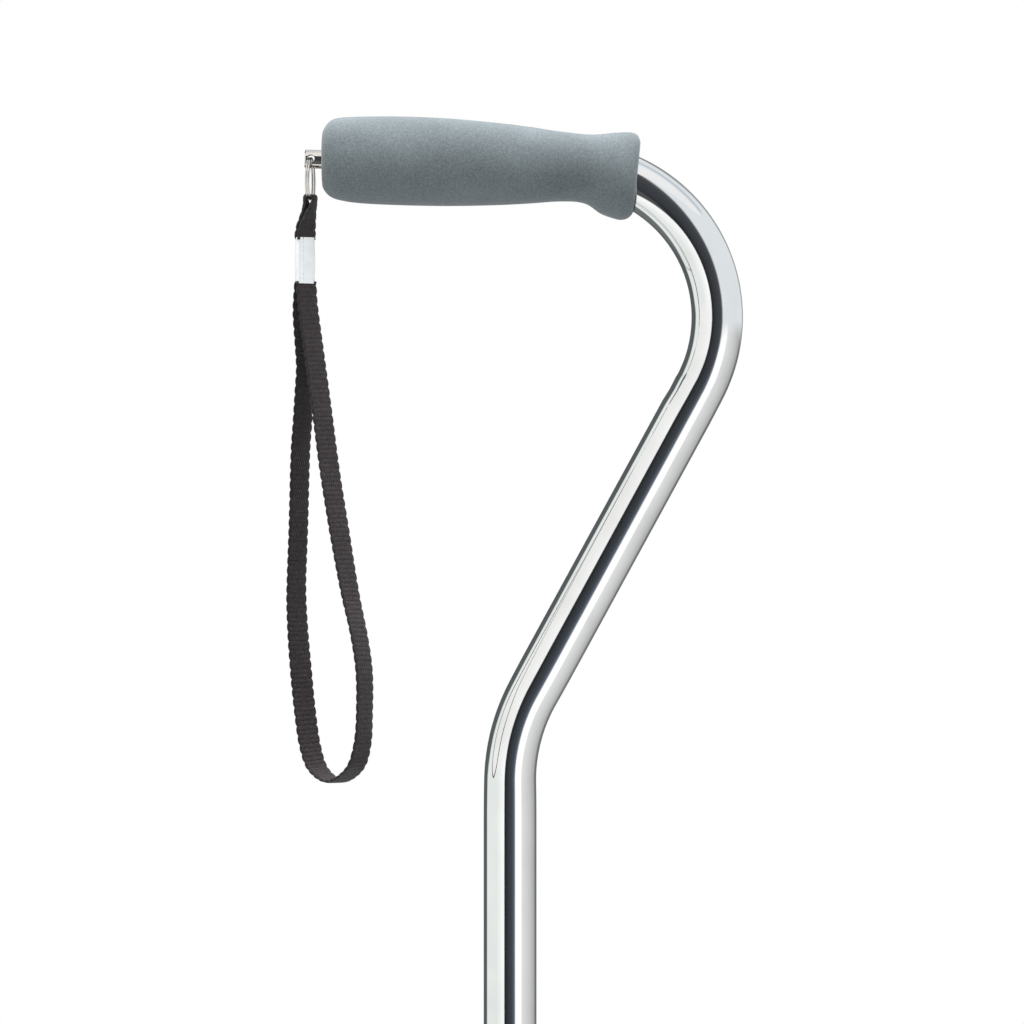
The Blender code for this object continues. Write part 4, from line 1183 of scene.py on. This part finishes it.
head_at = clamp_face + WASHER_THICK + FIT_GAP
shank_end = -(head_at + NUT_THICK + 0.0002)
outline = [(0, shank_end), (BOLT_RADIUS - 0.0004, shank_end), (BOLT_RADIUS, shank_end + 0.0004)]
outline += [(BOLT_RADIUS, head_at), (0.0052, head_at), (HEX_CORNER, head_at + 0.0003)]
head_end = head_at + HEAD_THICK
outline += [(HEX_CORNER, head_end - HEX_CHAMFER), (HEX_FACE, head_end), (0, head_end)]
grid = hexagon_grid(bolt_middle, AHEAD, outline, [0, 0, 0, 0, 1, 1, 1, 1, 0])
bolt = new_piece("hexagon_bolt", [grid], zinc, sharp=25)
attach(bolt, "base")
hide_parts("hub_bolt")
hole = BOLT_RADIUS + FIT_GAP
outline = [(hole, 0), (HEX_FACE, 0), (HEX_CORNER, HEX_CHAMFER), (HEX_CORNER, NUT_THICK - HEX_CHAMFER)]
outline += [(HEX_FACE, NUT_THICK), (hole, NUT_THICK)]
grid = hexagon_grid(bolt_middle - AHEAD * head_at, -AHEAD, outline, [0, 1, 1, 1, 1, 0])
nut = new_piece("hexagon_nut", [(grid, True, True)], zinc, sharp=25)
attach(nut, "base")
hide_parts("hub_nut")
ring = softened([(hole, 0), (WASHER_RADIUS, 0), (WASHER_RADIUS, WASHER_THICK), (hole, WASHER_THICK)], 0.0003)
for name, way in (("front", 1), ("rear", -1)):
    grid = turned(ring, bolt_middle + AHEAD * way * clamp_face, AHEAD * way, UP, 64)
    washer = new_piece(f"washer_{name}", [(grid, True, True)], zinc)
    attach(washer, "base")
    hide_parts(f"hub_washer_{name}")


# ---- pieces inside ----
# The end plug, the glide on the lower tube's top and the compression ring are nylon; the
# button's spring and the discs in the tips are zinc-plated steel. None of them shows.
inside_looks = {
    "handle_end_plug": nylon,
    "tube_top_glide": nylon,
    "compression_ring": nylon,
    "button_spring": zinc,
    "tip_washer_front_outer": zinc,
    "tip_washer_front_inner": zinc,
    "tip_washer_rear_outer": zinc,
    "tip_washer_rear_inner": zinc,
}
for node, look in inside_looks.items():
    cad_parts[node].data.materials.clear()
    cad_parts[node].data.materials.append(look)


# ---- floor and light ----
# A round pale floor that fades into a white surround. A tall tent of light stands about it:
# white panels on both sides, a dark gap where the lens looks in, and grey behind the cane.
FLOOR_RADIUS = 1.9
FLOOR_COLOUR = (0.47, 0.47, 0.47, 1)
TENT_RADIUS = 3.5
TENT_LOW = -0.9
SKIRT_LOW = -0.62
SKIRT_HIGH = -0.46
TENT_HIGH = 3.4
KEY_SIZE = 2.2
KEY_POWER = 106
KEY_HEIGHT = 2.6
# the shades that the panels' light is mixed from
SLATE = (0.036, 0.041, 0.046)
DARK = (0.105, 0.120, 0.122)
PALE = (0.83, 0.87, 0.89)
MILKY = (0.92, 0.95, 0.92)
# degrees about the shaft from the lens's side, positive to its right, and the light there:
# at the height of the floor and shaft, from the height of the bend up, and below the floor
TENT_FOOT = [
    (-180, DARK), (-124, DARK), (-118, MILKY), (-60, MILKY), (-27, 1.15), (-24, 0.015), (-12, SLATE),
    (8, (0.060, 0.070, 0.090)), (19, (0.14, 0.16, 0.19)), (25, 1.30), (48, 1.30), (53, 0.86),
    (95, 0.66), (130, 0.44), (138, 0.20), (180, DARK),
]
TENT_HEAD = [
    (-180, DARK), (-121, DARK), (-113, MILKY), (-60, (1.0, 1.0, 0.97)), (-27, 1.05), (-24, 0.015),
    (-12, SLATE), (14, (0.060, 0.067, 0.074)), (21, 0.10), (27, PALE), (140, PALE), (150, 0.40), (180, 0.16),
]
TENT_SKIRT = [
    (-180, DARK), (-94, DARK), (-80, MILKY), (-27, 1.0), (-24, 0.015), (21, 0.10), (27, 0.90), (130, 0.44),
    (138, DARK), (180, DARK),
]
# light from over the tent: from 0 towards the lens's side to 1 towards the back
OVERHEAD = [
    (0.0, 0.95), (0.46, 0.97), (0.56, (0.70, 0.75, 0.80)), (0.62, (0.50, 0.56, 0.63)), (0.68, PALE),
    (0.88, PALE), (0.94, (0.40, 0.45, 0.50)), (1.0, 0.12),
]
HEAD_FROM = 0.42
HEAD_AT = 0.72


def disc_grid(radius, rings, sides):
    """A flat disc at height zero; its first row is the middle."""
    reach = np.linspace(0, radius, rings)
    return turned(np.stack([reach, 0 * reach], 1), SHAFT, UP, AHEAD, sides)


def panel_light(tree, place, panels):
    """The colour of the panels in the direction of a place about the shaft."""
    aside = reckon(tree, "SUBTRACT", place["X"], shaft_x)
    towards = reckon(tree, "SUBTRACT", shaft_y, place["Y"])
    turn = reckon(tree, "MULTIPLY_ADD", reckon(tree, "ARCTAN2", aside, towards), 0.5 / math.pi, 0.5)
    return ramp(tree, turn, [((degrees + 180) / 360, level) for degrees, level in panels])


def make_floor_look():
    """Pale matt paper that turns into the white of the surround towards its edge. Metal
    mirrors it with the panels' light on it, stronger with distance."""
    look, tree, shader = new_look("pale_floor", Base_Color=FLOOR_COLOUR, Roughness=0.7)
    place = own_place(tree)
    distance = add_node(tree, "ShaderNodeVectorMath", {0: place}, operation="LENGTH").outputs["Value"]
    distance = reckon(tree, "DIVIDE", distance, FLOOR_RADIUS)
    fade = ramp(tree, distance, [(0.45, 0.0), (0.97, 1.0)])
    panels = panel_light(tree, split(tree, place), TENT_FOOT)
    way = add_node(tree, "ShaderNodeLightPath").outputs
    colour = blend_colours(tree, way["Is Camera Ray"], panels, (1, 1, 1, 1))
    glow = add_node(tree, "ShaderNodeEmission", {"Color": colour, "Strength": 1.0})
    mirrored = ramp(tree, distance, [(0.0, 0.80), (0.3, 0.92)])
    mirrored = reckon(tree, "MULTIPLY", mirrored, way["Is Glossy Ray"])
    fade = reckon(tree, "MULTIPLY_ADD", fade, way["Is Camera Ray"], mirrored)
    mix = add_node(tree, "ShaderNodeMixShader", {0: fade, 1: shader.outputs[0], 2: glow.outputs[0]})
    tree.links.new(mix.outputs[0], tree.nodes["Material Output"].inputs["Surface"])
    return look


def make_tent_look():
    """Light that follows the direction about the shaft, and the height. A skirt of dark
    cloth closes the foot of the tent on the left and behind."""
    look, tree, shader = new_look("light_tent")
    place = split(tree, own_place(tree))
    glow = panel_light(tree, place, TENT_SKIRT)
    for low, high, panels in ((SKIRT_LOW, SKIRT_HIGH, TENT_FOOT), (HEAD_FROM, HEAD_AT, TENT_HEAD)):
        risen = add_node(tree, "ShaderNodeMapRange", {0: place["Z"], 1: low, 2: high}).outputs[0]
        glow = blend_colours(tree, risen, glow, panel_light(tree, place, panels))
    light = add_node(tree, "ShaderNodeEmission", {"Color": glow, "Strength": 1.0})
    tree.links.new(light.outputs[0], tree.nodes["Material Output"].inputs["Surface"])
    tree.nodes.remove(shader)
    return look


floor = new_piece("floor", [disc_grid(FLOOR_RADIUS, 24, 96)], make_floor_look())
tent_wall = [(TENT_RADIUS, TENT_LOW), (TENT_RADIUS, TENT_HIGH)]
tent_grid = turned(tent_wall, SHAFT, UP, AHEAD, 180)
tent = new_piece("tent", [tent_grid], make_tent_look())
tent.visible_camera = False
tent.visible_shadow = False
key = bpy.data.objects.new("key_light", bpy.data.lights.new("key_light", "AREA"))
bpy.context.scene.collection.objects.link(key)
key.data.size = KEY_SIZE
key.data.energy = KEY_POWER
key.location = (shaft_x, shaft_y, KEY_HEIGHT)
key.visible_glossy = False


def make_surround():
    """White where the lens sees it. What the metal mirrors from overhead is white towards
    the lens's side and falls to grey behind the cane."""
    world = bpy.data.worlds.new("white_surround")
    world.use_nodes = True
    tree = world.node_tree
    way = add_node(tree, "ShaderNodeTexCoord").outputs["Generated"]
    back = add_node(tree, "ShaderNodeMapRange", {0: split(tree, way)["Y"], 1: -1.0, 2: 1.0}).outputs[0]
    overhead = ramp(tree, back, OVERHEAD)
    seen = add_node(tree, "ShaderNodeLightPath").outputs["Is Camera Ray"]
    colour = blend_colours(tree, seen, overhead, (1, 1, 1, 1))
    tree.links.new(colour, tree.nodes["Background"].inputs["Color"])
    return world


bpy.context.scene.world = make_surround()
